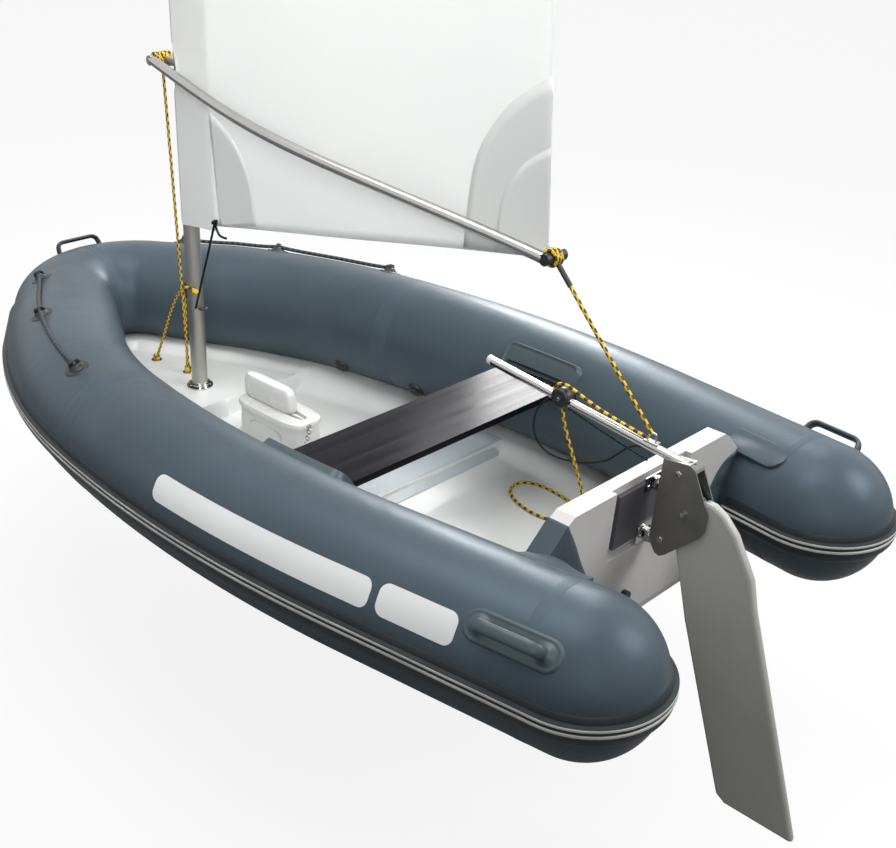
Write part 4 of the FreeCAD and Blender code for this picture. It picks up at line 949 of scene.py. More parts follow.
@dataclass
class Tubes:
    """The six inflated chambers with their seams and bands."""

    dressing: Dressing
    around: int = 96
    step: float = 0.014
    tape: float = 0.00045

    def chamber(self, name: str, side: Side, begin: float, end: float) -> Piece:
        """One chamber between two lengths.

        Args:
            name: Name of the piece.
            side: Its side of the boat.
            begin: Length at its aft end.
            end: Length at its fore end.

        Returns:
            The closed skin.
        """
        columns = max(4, round((end - begin) / self.step))

        def spot(column: int, row: int) -> Vector:
            """A point of the skin."""
            return PLAN.spot(begin + (end - begin) * column / columns, 360.0 * (row % self.around)
                             / self.around, side)

        def measure(column: int, row: int) -> Pair:
            """Metres along and around."""
            return (begin + (end - begin) * column / columns, PLAN.radius * math.tau * row / self.around)

        return grid_skin(name, columns, self.around, spot, measure, close=True)

    def tail(self, name: str, side: Side) -> Piece:
        """The rounded tail with its short cylinder."""
        columns, straight = 30, 4

        def spot(column: int, row: int) -> Vector:
            """A point of the tail."""
            angle = 360.0 * (row % self.around) / self.around
            if column >= columns - straight:
                return PLAN.spot(PLAN.cone * (column - columns + straight) / straight, angle, side)
            lean = math.pi / 2 * (1 - column / (columns - straight))
            station = PLAN.at(0.0)
            ring = PLAN.radius * math.cos(lean) if column else 0.0
            point = (station.point - station.forward * PLAN.radius * math.sin(lean)
                     + station.outward * ring * math.cos(math.radians(angle)))
            point.z += ring * math.sin(math.radians(angle))
            return side.mirrored(point)

        def measure(column: int, row: int) -> Pair:
            """Metres along and around."""
            return (column * 0.01 - 0.26, PLAN.radius * math.tau * row / self.around)

        return grid_skin(name, columns, self.around, spot, measure, close=True)

    def band(self, name: str, side: Side, begin: float, end: float, lift: float,
             low: float = 0.0, high: float = 360.0) -> Piece:
        """A strip bonded over the tube's skin between two lengths and two angles."""
        edge, rim, under = 0.004, -0.0004, -0.0016
        cuts = [begin, begin + edge] + [begin + edge + (end - begin - 2 * edge) * i / 6 for i in range(1, 6)]
        cuts += [end - edge, end]
        loop = [(cut, rim if cut in (begin, end) else lift) for cut in cuts]
        loop += [(cut, under) for cut in reversed(cuts)] + [loop[0]]
        whole = high - low >= 360.0
        rows = max(6, round(self.around * (high - low) / 360.0))

        def spot(column: int, row: int) -> Vector:
            """A point of the strip."""
            along, rise = loop[column]
            angle = low + (high - low) * (row % rows if whole else row) / rows
            if not whole and row in (0, rows):
                rise = min(rise, -0.0002)
            return PLAN.spot(along, angle, side, rise)

        return grid_skin(name, len(loop) - 1, rows, spot,
                         lambda column, row: (loop[column][0], row * 0.01), close=not whole)

    def make(self) -> None:
        """Build and dress every tube piece."""
        dressing = self.dressing
        for side in Side:
            chambers = (("tail_cone", None), ("tube_aft", (PLAN.cone, PLAN.bulkhead)),
                        ("tube_bow", (PLAN.bulkhead, PLAN.length)))
            for stem, ends in chambers:
                node = "%s_%s" % (stem, side.word)
                made = (self.tail("skin_" + node, side) if ends is None
                        else self.chamber("skin_" + node, side, *ends))
                dressing.piece(made, "coated_fabric", "hull", [node])
            for stem, begin, end in (("tail_seam", PLAN.cone - 0.012, PLAN.cone + 0.018),
                                     ("bulkhead_seam", PLAN.bulkhead - 0.030, PLAN.bulkhead + 0.030),
                                     ("mitre_seam", PLAN.length - 0.022, PLAN.length)):
                made = self.band("%s_%s" % (stem, side.word), side, begin, end, self.tape)
                dressing.piece(made, "fabric_tape", "hull")


@dataclass
class Strake:
    """The rubbing strake: flat band, two light ribs and a rounded bumper."""

    dressing: Dressing
    drop: float = 0.017
    half: float = 0.027
    depth: float = 0.015
    band: float = 0.017
    band_depth: float = 0.004
    inner_run: float = 0.150
    inner_steps: int = 8
    turn_steps: int = 36
    steps: int = 190
    uv_start: float = -0.6

    def profile(self, radius: float) -> list[Pair]:
        """The section as pairs of outward and up, from the tube's axis.

        Args:
            radius: The tube's radius there.

        Returns:
            A closed loop of points.
        """
        face, rib, shelf = radius + self.depth, self.depth / 5, self.half - self.drop
        top = shelf + self.band
        low = -self.half - self.drop

        def skin(height: float) -> float:
            """Half-width of the tube at a height."""
            return math.sqrt(radius ** 2 - height ** 2)

        loop = [(skin(top) - 0.001, top), (skin(top) + 0.002, top),
                (skin(top) + self.band_depth, top - 0.003), (radius + self.band_depth, shelf + 0.001),
                (face - rib, shelf), (face - 0.0006, shelf - rib), (face, shelf - rib - 0.001),
                (face, shelf - 3 * rib + 0.001), (face - rib, shelf - 3.4 * rib),
                (face - rib, shelf - 5 * rib), (face, shelf - 5.4 * rib - 0.001),
                (face, shelf - 7.4 * rib + 0.001), (face - 0.0012, shelf - 7.8 * rib)]
        for share in (0.15, 0.35, 0.55, 0.75, 0.9, 1.0):
            height = shelf - 7.8 * rib + (low - shelf + 7.8 * rib) * share
            swell = (self.depth - 0.001) * math.sqrt(max(0.0, 1 - share ** 2.2))
            loop.append((skin(height) + swell, height))
        loop += [(skin(height) - 0.001, height) for height in (low, -0.03, -0.015, 0.0, 0.015)]
        loop.append(loop[0])
        return loop

    def make(self) -> None:
        """Sweep the section from the inner side of the tail round to the stem, on both sides."""
        halves = []
        for side in Side:
            first = PLAN.at(0.0)
            frames: list[tuple[Vector, Vector, float, float]] = []
            for index in range(self.inner_steps + 1):
                along = self.inner_run * (1 - index / self.inner_steps)
                frames.append((first.point + first.forward * along, -first.outward, first.radius,
                               self.uv_start - along))
            for index in range(1, self.turn_steps):
                angle = math.pi * index / self.turn_steps
                frames.append((first.point, -first.outward * math.cos(angle)
                               - first.forward * math.sin(angle), first.radius,
                               self.uv_start + angle * 0.18))
            for index in range(self.steps + 1):
                run = PLAN.length * index / self.steps
                station = PLAN.at(run)
                frames.append((station.point, station.outward, station.radius, run))
            loops = [self.profile(frame[2]) for frame in frames]

            def spot(column: int, row: int) -> Vector:
                """A point of the strake."""
                origin, outward, _, _ = frames[column]
                across, up = loops[column][row]
                point = side.mirrored(origin + outward * across)
                point.z += up
                return point

            halves.append(grid_skin("strake_half", len(frames) - 1, len(loops[0]) - 1, spot,
                                    lambda column, row: (frames[column][3], row * 0.005), close=True))
        made = joined("rubbing_strake", halves)
        settle(made, 28)
        self.dressing.piece(made, "strake_rubber", "hull", ["rub_strake"])


CLEW_RIM = [(-0.662, 1.150), (-0.569, 1.097), (-0.502, 1.025), (-0.452, 0.948), (-0.432, 0.850),
            (-0.424, 0.716)]
TACK_RIM = [(0.543, 0.866), (0.460, 0.832), (0.390, 0.753), (0.358, 0.662), (0.349, 0.583)]


@dataclass
class Sail:
    """The set sail with its mast sleeve and patches."""

    dressing: Dressing
    mast_x: float = 0.650
    foot: float = 0.523
    head: float = 3.280
    clew: Pair = (-0.683, 0.756)
    leech: tuple[Pair, ...] = ((-0.683, 0.756), (-0.640, 1.500), (-0.427, 2.123),
                                              (-0.098, 2.675), (0.302, 3.084), (0.530, 3.280))
    half: float = 0.0011
    window: Pair = (0.885, 1.060)
    draught: float = 0.016
    creases: float = 0.0035

    def edge(self, height: float, points: Sequence[Pair]) -> float:
        """Station of an edge at a height, by straight spans between its points."""
        for (x0, z0), (x1, z1) in zip(points, points[1:]):
            if height <= z1:
                return x0 + (x1 - x0) * max(0.0, (height - z0) / (z1 - z0))
        return points[-1][0]

    def cloth_line(self, share: float) -> tuple[Vector, Vector]:
        """Fore and aft ends of one cloth line from foot (0) to head (1)."""
        fore = Vector((self.mast_x - 0.024, 0, self.foot + (self.head - self.foot) * share))
        low = self.clew[1]
        height = low + (self.head - low) * share
        return fore, Vector((self.leech_at(height), 0, height))

    def leech_at(self, height: float) -> float:
        """Station of the rounded leech at a height."""
        points = self.leech
        low, high, reach, total = points[0][1], points[-1][1], 0.12, 0.0
        shifts = (-reach, -reach / 2, 0.0, reach / 2, reach)
        for shift in shifts:
            total += self.edge(min(max(height + shift, low), high), points)
        near = min(1.0, abs(height - low) / reach, abs(high - height) / reach)
        return near * total / len(shifts) + (1 - near) * self.edge(height, points)

    def belly(self, x: float, z: float) -> float:
        """Sideways set of the cloth: a slight curve and a few soft creases."""
        across = max(0.0, min(1.0, (self.mast_x - 0.03 - x) / 1.3))
        up = max(0.0, min(1.0, (z - self.foot) / (self.head - self.foot)))
        curve = self.draught * math.sin(math.pi * across) * math.sin(math.pi * min(1.0, up * 1.4 + 0.05))
        crease = self.creases * math.sin(9 * across + 7 * up) * math.sin(math.pi * across)
        return -(curve + crease) * (1 - 0.4 * up)

    def cloth(self) -> Piece:
        """The single-skin body of the sail."""
        columns, rows = 60, 110

        def spot(column: int, row: int) -> Vector:
            """A point of the cloth."""
            fore, aft = self.cloth_line(row / rows)
            point = fore + (aft - fore) * (column / columns)
            point.y = self.belly(point.x, point.z)
            return point

        made = grid_skin("sail_cloth", columns, rows, spot, by_step(0.022, 0.025))
        return apply_modifier(made, "SOLIDIFY", thickness=2 * self.half, offset=0.0)

    def sleeve(self, low: float, high: float, name: str) -> Piece:
        """The pocket round the mast, which flattens into the cloth behind it, with the boom's notch."""
        radius, width, notch_depth = 0.0268, 0.112, 0.036
        around, rows = 40, max(4, round((high - low) / 0.012))

        def section(row: int, index: int) -> Pair:
            """Fore-and-aft and sideways place in the pocket's section."""
            share = (row % around) / around
            if share < 0.5:
                turn = math.pi * (share / 0.5) - math.pi / 2
                return radius * math.cos(turn), radius * math.sin(turn)
            back = (share - 0.5) / 0.5
            side = 1 if back < 0.5 else -1
            reach = back * 2 if back < 0.5 else 2 - back * 2
            ripple = 0.0012 * math.sin(index * 1.9 + side)
            half = radius * (1 - reach) ** 1.4 + 0.0024 + ripple * (1 - reach) * reach
            return -width * reach, side * half

        def spot(column: int, row: int) -> Vector:
            """A point of the pocket."""
            height = low + (high - low) * column / rows
            fore, across = section(row, column)
            notch = (height - self.window[0]) / (self.window[1] - self.window[0])
            if 0 < notch < 1:
                fore = min(fore, radius - notch_depth * (1 - (2 * notch - 1) ** 2))
            behind = self.belly(self.mast_x + fore, height) if fore < 0 else 0.0
            return Vector((self.mast_x + fore, across + behind, height))

        return grid_skin(name, rows, around, spot, lambda column, row: (row * 0.006, column * 0.03),
                         close=True)

    def patch(self, name: str, corner: Sequence[float], rim: Sequence[Sequence[float]],
              lift: float) -> Piece:
        """A doubling of the cloth: a fan from a corner to a rim, on both sides of the sail."""
        columns = len(rim) - 1
        rows = 12
        corner_point = Vector((corner[0], 0, corner[1]))

        def spot(column: int, row: int) -> Vector:
            """A point of the patch."""
            edge = Vector((rim[column][0], 0, rim[column][1]))
            point = corner_point + (edge - corner_point) * (row / rows)
            point.y = self.belly(point.x, point.z)
            return point

        made = grid_skin(name, columns, rows, spot, by_step(0.03, 0.03))
        return apply_modifier(made, "SOLIDIFY", thickness=2 * (self.half + lift), offset=0.0)

    def rounded_rim(self, points: Sequence[Pair]) -> list[Pair]:
        """A smooth rim through a few points."""
        line = route_points([(x, 0.0, z) for x, z in points], 8)
        return [(point.x, point.z) for point in line]

    def make(self) -> None:
        """Build and dress the sail."""
        dressing = self.dressing
        cloth = self.cloth()
        sleeve = self.sleeve(self.foot, self.head, "sail_sleeve")
        clew_rim = self.rounded_rim(CLEW_RIM)
        foot_end = (0.512, 0.5475)

        def shrunk(points: Sequence[Pair], corner: Pair,
                   share: float) -> list[Pair]:
            """A rim drawn in towards its corner."""
            x0, z0 = corner
            return self.rounded_rim([(x0 + (x - x0) * share, z0 + (z - z0) * share) for x, z in points])

        patches = joined("sail_patches", [
            self.patch("clew_patch", self.clew, clew_rim, 0.0005),
            self.patch("tack_patch", foot_end, self.rounded_rim(TACK_RIM), 0.0005),
            self.patch("clew_ply", self.clew, shrunk(CLEW_RIM, self.clew, 0.62), 0.0007)])
        dressing.piece(cloth, "sailcloth", "rig", ["sail"])
        dressing.piece(sleeve, "sail_patch", "rig")
        dressing.piece(patches, "sail_patch", "rig")


@dataclass
class Panels:
    """The four blank panels on the tubes' outer sides."""

    dressing: Dressing
    lift: float = 0.0004
    sheet: float = 0.0012

    def panel(self, name: str, side: Side, begin: float, end: float, low: float, high: float,
              corner: float) -> Piece:
        """A thin panel with rounded corners that follows the tube.

        Args:
            name: Name of the piece.
            side: Its side of the boat.
            begin: Length at its aft edge.
            end: Length at its fore edge.
            low: Angle at its lower edge.
            high: Angle at its upper edge.
            corner: Radius of its corners.

        Returns:
            The closed panel.
        """
        length = end - begin
        width = math.radians(high - low) * PLAN.radius
        clear_selection()
        bpy.ops.mesh.primitive_plane_add(size=1)
        made = take(name)
        made.scale = (length, width, 1)
        place_in_mesh(made)

        def cut(way: Vector, place: float) -> Callable[[], object]:
            """A cut through the panel, square to a direction."""
            return lambda: bpy.ops.mesh.bisect(plane_co=way * place, plane_no=way)

        edited(made, lambda: bpy.ops.mesh.bevel(offset=corner, segments=8, affect="VERTICES"),
               *(cut(way, index * step - extent / 2)
                 for way, extent, step in ((AHEAD, length, 0.02), (ACROSS, width, 0.012))
                 for index in range(1, round(extent / step))))
        middle, centre = (begin + end) / 2, (low + high) / 2
        for vertex in made.data.vertices:
            angle = centre + math.degrees(vertex.co.y / PLAN.radius)
            vertex.co = PLAN.spot(middle + vertex.co.x, angle, side, self.lift)
        apply_modifier(made, "SOLIDIFY", thickness=self.sheet, offset=0.0)
        return settle(made)

    def make(self) -> None:
        """Put both panels on both sides."""
        for side in Side:
            for stem, begin, end, low, high in (("long_panel", 0.415, 1.060, 18.0, 40.0),
                                                ("short_panel", 0.205, 0.395, 18.5, 42.0)):
                made = self.panel("%s_%s" % (stem, side.word), side, begin, end, low, high, 0.022)
                self.dressing.piece(made, "panel_white", "hull")


@dataclass
class Mouldings:
    """The hull's skin and the moulded liner, both in white gelcoat."""

    dressing: Dressing
    sheet: float = 0.005
    liner_sheet: float = 0.004
    liner_smooth: float = 50.0
    edge_offset: float = 0.062
    edge: float = -0.008
    aft: float = -0.952
    stem: float = 1.180
    keel: tuple[Pair, ...] = ((-1.065, -0.062), (-0.167, -0.106), (0.551, -0.104),
                                             (0.9555, -0.062), (1.180, -0.012))

    def half_width(self, station: float) -> float:
        """Half-width of the hull's edge at a station."""
        last = Vector((-2, 0.4, 0))
        for index in range(301):
            place = PLAN.at(PLAN.length * index / 300)
            spot = place.point - place.outward * self.edge_offset
            if spot.x >= station:
                share = (station - last.x) / (spot.x - last.x)
                return max(0.016, last.y + (spot.y - last.y) * share)
            last = spot
        return 0.016

    def hull(self) -> Piece:
        """The shallow vee with rounded chines and a keel strip."""
        columns, rows = 120, 56
        stations = [self.aft + (self.stem - self.aft) * column / columns for column in range(columns + 1)]
        widths = [self.half_width(station) for station in stations]

        def spot(column: int, row: int) -> Vector:
            """A point of the skin."""
            across = 2 * row / rows - 1
            share, station, half = abs(across), stations[column], widths[column]
            low = through_points(self.keel, station)
            chine = low + (self.edge - low) * 0.36
            if share < 0.8:
                inner = share / 0.8
                out = half * 0.84 * inner
                up = low + (chine - low) * (inner + 0.12 * math.sin(math.pi * inner))
            else:
                outer = (share - 0.8) / 0.2
                out = half * (0.84 + 0.16 * math.sin(outer * math.pi / 2) ** 0.9) + 0.002 * outer
                up = chine + (self.edge + 0.003 - chine) * (1 - math.cos(outer * math.pi / 2))
            up -= 0.006 * smooth_step((0.02 - out) / 0.012) * smooth_step((self.stem - station) / 0.2)
            if column == 0:
                station = raked(TRANSOM_FRONT, up)
            return Vector((station, math.copysign(out, across), up))

        made = grid_skin("hull_skin", columns, rows, spot, by_step(0.018, 0.016))
        return settle(apply_modifier(made, "SOLIDIFY", thickness=self.sheet, offset=-1.0), 34)

    def level(self, station: float, inward: float) -> float:
        """Height of the liner at a station and a distance inward from the tube's centreline."""
        flange = -0.008 + 0.020 * smooth_step((station - 0.258) / 0.258) + 0.012 * smooth_step(
            (station - 0.516) / 0.384)
        if station < -0.235:
            floor = -0.050 + 0.010 * smooth_step((station + 0.330) / 0.085)
            floor += (-0.010 + 0.040) * smooth_step((station + 0.249) / 0.022)
            wall, foot = 0.128, 0.180
        elif station < 0.510:
            floor = -0.010 - 0.040 * smooth_step((station + 0.090) / 0.026)
            floor += (-0.0005 + 0.050) * smooth_step((station - 0.500) / 0.014)
            wall, foot = 0.128, 0.214
        else:
            floor = -0.0005
            wall, foot = 0.150, 0.188
        share = (inward - wall) / (foot - wall)
        return flange + (floor - flange) * smooth_step(share * 0.94 + 0.03 if 0 < share < 1 else share)

    def liner(self) -> Piece:
        """Flange, sloping sides, aft sole, beam, well and fore deck in one skin."""
        columns, rows, outer = 300, 46, 0.052
        halves = []
        for side in Side:

            def spot(column: int, row: int) -> Vector:
                """A point of the liner."""
                station = PLAN.at(0.03 + (PLAN.length - 0.03) * column / columns)
                reach = station.point.y / station.outward.y if station.outward.y > 0.01 else PLAN.nose
                reach = min(reach, PLAN.nose) if station.heading < -0.56 else reach
                inward = outer + (reach - outer) * row / rows
                point = station.point - station.outward * inward
                return Vector((point.x, side.value * max(0.0, point.y), self.level(point.x, inward)))

            halves.append(grid_skin("liner_half", columns, rows, spot, by_step(0.01, 0.009)))
        made = joined("deck_liner", halves)
        edited(made, lambda: bpy.ops.mesh.remove_doubles(threshold=0.0004),
               lambda: bpy.ops.mesh.dissolve_degenerate(threshold=0.0003),
               lambda: bpy.ops.mesh.bisect(plane_co=(TRANSOM_FRONT, 0, TRANSOM_TOP),
                                           plane_no=(1, 0, TRANSOM_RAKE), clear_inner=True))
        settle(made, self.liner_smooth)
        if sum(polygon.normal.z * polygon.area for polygon in made.data.polygons) < 0:
            edited(made, bpy.ops.mesh.flip_normals)
        return shade(apply_modifier(made, "SOLIDIFY", thickness=self.liner_sheet, offset=-1.0),
                     self.liner_smooth)

    def make(self) -> None:
        """Build the hull and the liner."""
        self.dressing.piece(self.hull(), "gelcoat", "hull", ["hull_shell"])
        self.dressing.piece(self.liner(), "gelcoat", "hull", ["deck_moulding"])


@dataclass
class CentreCase:
    """The daggerboard with its grip, and the case that it slides in."""

    dressing: Dressing
    fore: float = 0.400
    aft: float = 0.132
    half: float = 0.056
    top: float = 0.060
    board_fore: float = 0.372
    chord: float = 0.212
    thickness: float = 0.024
    board_top: float = 0.0545
    length: float = 0.640

    def ring(self, half_x: float, half_y: float, row: int, rows: int) -> Pair:
        """A point of a rounded plan outline."""
        angle = math.tau * row / rows
        return tuple(half * math.copysign(abs(part) ** 0.5, part)
                     for half, part in ((half_x, math.cos(angle)), (half_y, math.sin(angle))))

    def case(self) -> Piece:
        """The box: flared foot, straight sides, a rim and the slot in its top."""
        middle, half_x = (self.fore + self.aft) / 2, (self.fore - self.aft) / 2
        slot_x, slot_y = self.chord / 2 + 0.006, self.thickness / 2 + 0.006
        slot_middle = self.board_fore - self.chord / 2
        profile = [(0.014, -0.052, 0), (0.008, -0.044, 0), (0.004, -0.030, 0), (0.001, 0.036, 0),
                   (0.001, 0.041, 0), (0.006, 0.044, 0), (0.007, 0.048, 0), (0.007, 0.054, 0),
                   (0.0045, 0.0585, 0), (0.0, 0.060, 0), (-0.010, 0.060, 0), (0.0, 0.060, 1),
                   (-0.001, 0.057, 1), (-0.001, 0.020, 1), (-0.001, -0.040, 1)]
        rows = 72

        def spot(column: int, row: int) -> Vector:
            """A point of the case."""
            grow, height, inner = profile[column]
            if inner:
                x, y = self.ring(slot_x + grow, slot_y + grow, row, rows)
                return Vector((slot_middle + x, y, height))
            x, y = self.ring(half_x + grow, self.half + grow, row, rows)
            return Vector((middle + x, y, height))

        return grid_skin("case_body", len(profile) - 1, rows, spot, by_step(0.01, 0.01))

    def panels(self) -> list[Piece]:
        """A thin plate on each long side, darker as painted shade in place of a sunk panel."""
        made = []
        for side in Side:
            outline = [self.ring(0.072, 0.026, row, 40) for row in range(40)]
            made.append(plate("case_panel_%s" % side.word, outline, lambda x, z: Vector(
                (0.262 + x, side.value * 0.0565, -0.004 + z)), Vector((0, side.value * 0.0012, 0)), 0.0005))
        return made

    def foil(self) -> Piece:
        """The board under the grip."""
        shares = ((0, 0), (0.02, 0.36), (0.08, 0.70), (0.2, 0.95), (0.33, 1.0), (0.6, 0.78), (1, 0.2))
        around = [0.0, 0.005, 0.02, 0.05, 0.1, 0.2, 0.33, 0.5, 0.7, 0.88, 1.0]
        loop = [(share, 1) for share in around] + [(share, -1) for share in reversed(around)]
        levels = [0.0, 0.1, 0.25, 0.5, 0.75, 0.9, 0.955, 0.985, 0.995, 1.0]

        def spot(column: int, row: int) -> Vector:
            """A point of the board."""
            level = levels[column]
            share, way = loop[row % len(loop)]
            height = self.board_top + 0.004 - (self.length + 0.004) * level
            back = max(0.0, level - 0.9) / 0.1 * 0.062
            thin = 1 - 0.5 * smooth_step((level - 0.985) / 0.015)
            width = through_points(shares, share) * self.thickness / 2 * thin
            if share == 0.0:
                width = 0.0006
            return Vector((self.board_fore - back - (self.chord - back) * share, way * width, height))

        return grid_skin("board_foil", len(levels) - 1, len(loop), spot, by_step(0.06, 0.01), close=True)

    def grip(self) -> Piece:
        """The head: a thick rounded slab on a narrower neck."""
        profile = [(-0.020, -0.0125, 0.046), (-0.020, -0.0125, 0.0606), (-0.006, -0.004, 0.0612),
                   (-0.002, -0.001, 0.067), (0.0, 0.0, 0.080), (-0.001, -0.001, 0.110),
                   (-0.004, -0.003, 0.121), (-0.010, -0.008, 0.1275), (-0.020, -0.014, 0.1284)]
        rows = 64
        middle, half_x, half_y = 0.304, 0.106, 0.024

        def spot(column: int, row: int) -> Vector:
            """A point of the head."""
            grow_x, grow_y, height = profile[column]
            x, y = self.ring(half_x + grow_x, half_y + grow_y, row, rows)
            lean = 0.010 * (height - 0.0604) / 0.068 if x < 0 else 0.0
            return Vector((middle + x + lean, y, height))

        return grid_skin("board_grip", len(profile) - 1, rows, spot, by_step(0.01, 0.01), close=True)

    def make(self) -> None:
        """Build and dress the case, the board and the chain at the case's aft end."""
        dressing = self.dressing
        dressing.piece(self.case(), "case_white", "hull", ["daggerboard_case"])
        dressing.piece(joined("case_panels", self.panels()), "recess_shade", "hull")
        dressing.piece(joined("board_whole", [self.foil(), self.grip()]), "case_white", "board",
                       ["daggerboard"])
        links = []
        for index in range(5):
            clear_selection()
            bpy.ops.mesh.primitive_torus_add(
                major_radius=0.0055, minor_radius=0.0016, major_segments=20, minor_segments=8,
                location=(0.119 - 0.001 * index, 0.012 + 0.004 * index, 0.046 - 0.0085 * index),
                rotation=(math.radians(90 * (index % 2)), math.radians(20), math.radians(30)))
            links.append(settle(place_in_mesh(take("link"))))
        links.append(drum("case_eye", Vector((0.1245, 0.010, 0.050)), AHEAD, 0.007, 0.006, 20, 0.001))
        dressing.piece(joined("case_chain", links), "polished_steel", "hull")


@dataclass
class TubeFittings:
    """Everything moulded or bonded onto the tubes."""

    dressing: Dressing
    thwart: tuple[float, float, float, float] = (-0.463, -0.246, 0.228, 0.246)
    lifeline_angle: float = 68.0
    lifeline_shares: Triple = (0.112, 0.462, 0.749)
    lifeline_radius: float = 0.006

    def holder(self, side: Side) -> Piece:
        """A rounded pad with a slot that takes the thwart's end."""
        begin, end = self.holder_runs()
        low, high = 124.0, 168.0
        half_x = (end - begin) / 2
        half_y = math.radians(high - low) / 2 * PLAN.radius
        aft, fore, under, over = self.thwart
        middle_run = (begin + end) / 2

        def lift(along: float, around: float) -> float:
            """Height of the pad."""
            inside = rounded_box(along, around, half_x - 0.004, half_y - 0.004, 0.028)
            body = 0.017 * smooth_step(inside / 0.008) - 0.004 * smooth_step((inside - 0.010) / 0.005)
            angle = (low + high) / 2 + math.degrees(around / PLAN.radius)
            point = PLAN.spot(middle_run + along, angle, Side.PORT, 0.012)
            near = rounded_box(point.x - (aft + fore) / 2, point.z - (under + over) / 2 - 0.001,
                               (fore - aft) / 2 + 0.005, (over - under) / 2 + 0.007, 0.004)
            return body * (1 - smooth_step((near + 0.001) / 0.003)) - 0.002 * smooth_step(-inside / 0.002)

        return blister("holder_pad_%s" % side.word, side, begin, end, low, high, lift, 0.0024)

    def holder_runs(self) -> Pair:
        """Lengths where the holder begins and ends, at even distances from the thwart's middle."""
        (aft, fore), reach = self.thwart[:2], 0.142
        middle = min((PLAN.length * i / 800 for i in range(800)),
                     key=lambda run: abs(PLAN.at(run).point.x - (aft + fore) / 2))
        return middle - reach, middle + reach

    def stern_handle(self, side: Side) -> list[Piece]:
        """An oval patch with a raised rim and the moulded grip over it."""
        run, angle = 0.088, 40.0
        half_y = 0.036
        spread = math.degrees(half_y / PLAN.radius)

        def lift(along: float, around: float) -> float:
            """Height of the patch."""
            inside = rounded_box(along, around, 0.110, half_y - 0.001, half_y - 0.002)
            foot = 0.010 * sum(smooth_step(1 - math.hypot(along - x, around) / 0.028)
                               for x in (-0.075, 0.075))
            rim = 0.0022 * smooth_step(inside / 0.003)
            rim += 0.0018 * smooth_step(1 - abs(inside - 0.006) / 0.005)
            return rim + (foot if inside > 0.004 else 0.0) - 0.002 * smooth_step(-inside / 0.002)

        patch = blister("stern_patch_%s" % side.word, side, run - 0.111, run + 0.111, angle - spread,
                        angle + spread, lift, 0.0025)
        origin, along, out = skin_frame(run, angle, side)
        grip = arch("stern_grip_%s" % side.word, origin, along, out, 0.150, 0.034, 0.0065, 0.008)
        across = out.cross(along).normalized()
        return [patch, widened(grip, origin, across, 2.1)]

    def bow_handle(self) -> Piece:
        """The strap handle over the stem with its two feet."""
        centre = PLAN.at(PLAN.length).point
        out = Vector((math.cos(math.radians(60)), 0, math.sin(math.radians(60))))
        origin = Vector((centre.x, 0, centre.z)) + out * (PLAN.bow_radius - 0.002)
        grip = arch("bow_grip", origin, ACROSS, out, 0.150, 0.030, 0.0062, 0.034)
        widened(grip, origin, out.cross(ACROSS), 1.9)
        return self.dressing.piece(grip, "dark_rubber", "hull", ["bow_handle"])

    def lifeline(self, side: Side) -> None:
        """Three patches with their loops and knots, and the two spans of rope."""
        dressing, first = self.dressing, PLAN.bulkhead
        runs = [first + (PLAN.length - first) * share for share in self.lifeline_shares]
        patches, knots = [], []
        for index, run in enumerate(runs):
            radius_here = PLAN.at(run).radius
            spread = math.degrees(0.036 / radius_here)

            def lift(along: float, around: float) -> float:
                """Height of one patch."""
                reach = math.hypot(along, around * radius_here / PLAN.radius)
                disc = 0.0024 * smooth_step((0.034 - reach) / 0.003)
                dome = 0.011 * smooth_step((0.023 - reach) / 0.013)
                return disc + dome - 0.002 * smooth_step((reach - 0.034) / 0.001)

            patches.append(blister("line_patch", side, run - 0.036, run + 0.036,
                                   self.lifeline_angle - spread, self.lifeline_angle + spread, lift, 0.002))
            origin, along, out = skin_frame(run, self.lifeline_angle, side)
            across = out.cross(along)
            knots.append(arch("line_loop", origin, across, out, 0.026, 0.0205, 0.0042, 0.002))
            for shift in ((0.0,) if index == 1 else (0.0, 0.012 if index == 0 else -0.012)):
                clear_selection()
                bpy.ops.mesh.primitive_uv_sphere_add(segments=20, ring_count=12, radius=0.0088,
                                                     location=origin + along * shift + out * 0.0135)
                knots.append(settle(place_in_mesh(take("line_knot"))))
        dressing.piece(joined("line_patches_%s" % side.word, patches), "dark_rubber", "hull",
                       ["lifeline_patches_%s" % side.word])
        dressing.piece(joined("line_knots_%s" % side.word, knots), "dark_rubber", "hull")
        spans = []
        for begin, end in zip(runs, runs[1:]):
            line = []
            for index in range(41):
                share = index / 40
                lift = self.lifeline_radius + 0.0016 + 0.006 * (2 * share - 1) ** 4
                line.append(PLAN.spot(begin + 0.006 + (end - begin - 0.012) * share, self.lifeline_angle,
                                      side, lift))
            spans.append(rope_mesh("line_span", line, self.lifeline_radius))
        dressing.piece(joined("line_rope_%s" % side.word, spans), "lifeline_braid", "hull",
                       ["lifeline_%s" % side.word])

    def valves(self) -> None:
        """The inflation valves: a bonded ring, a cap and its strap."""
        made = []
        for side in Side:
            for run in (PLAN.bulkhead - 0.130, PLAN.bulkhead + 0.175):
                origin, along, out = skin_frame(run, 219.0, side)
                ring = drum("valve_ring", origin + out * 0.0015, out, 0.027, 0.010, 36, 0.0022, top=0.0235)
                cap = drum("valve_cap", origin + out * 0.008, out, 0.0165, 0.009, 28, 0.002)
                strap = arch("valve_strap", origin + out * 0.004, along, out, 0.034, 0.0085, 0.0024)
                made += [ring, cap, strap]
        self.dressing.piece(joined("valves", made), "black_plastic", "hull", ["inflation_valves"])

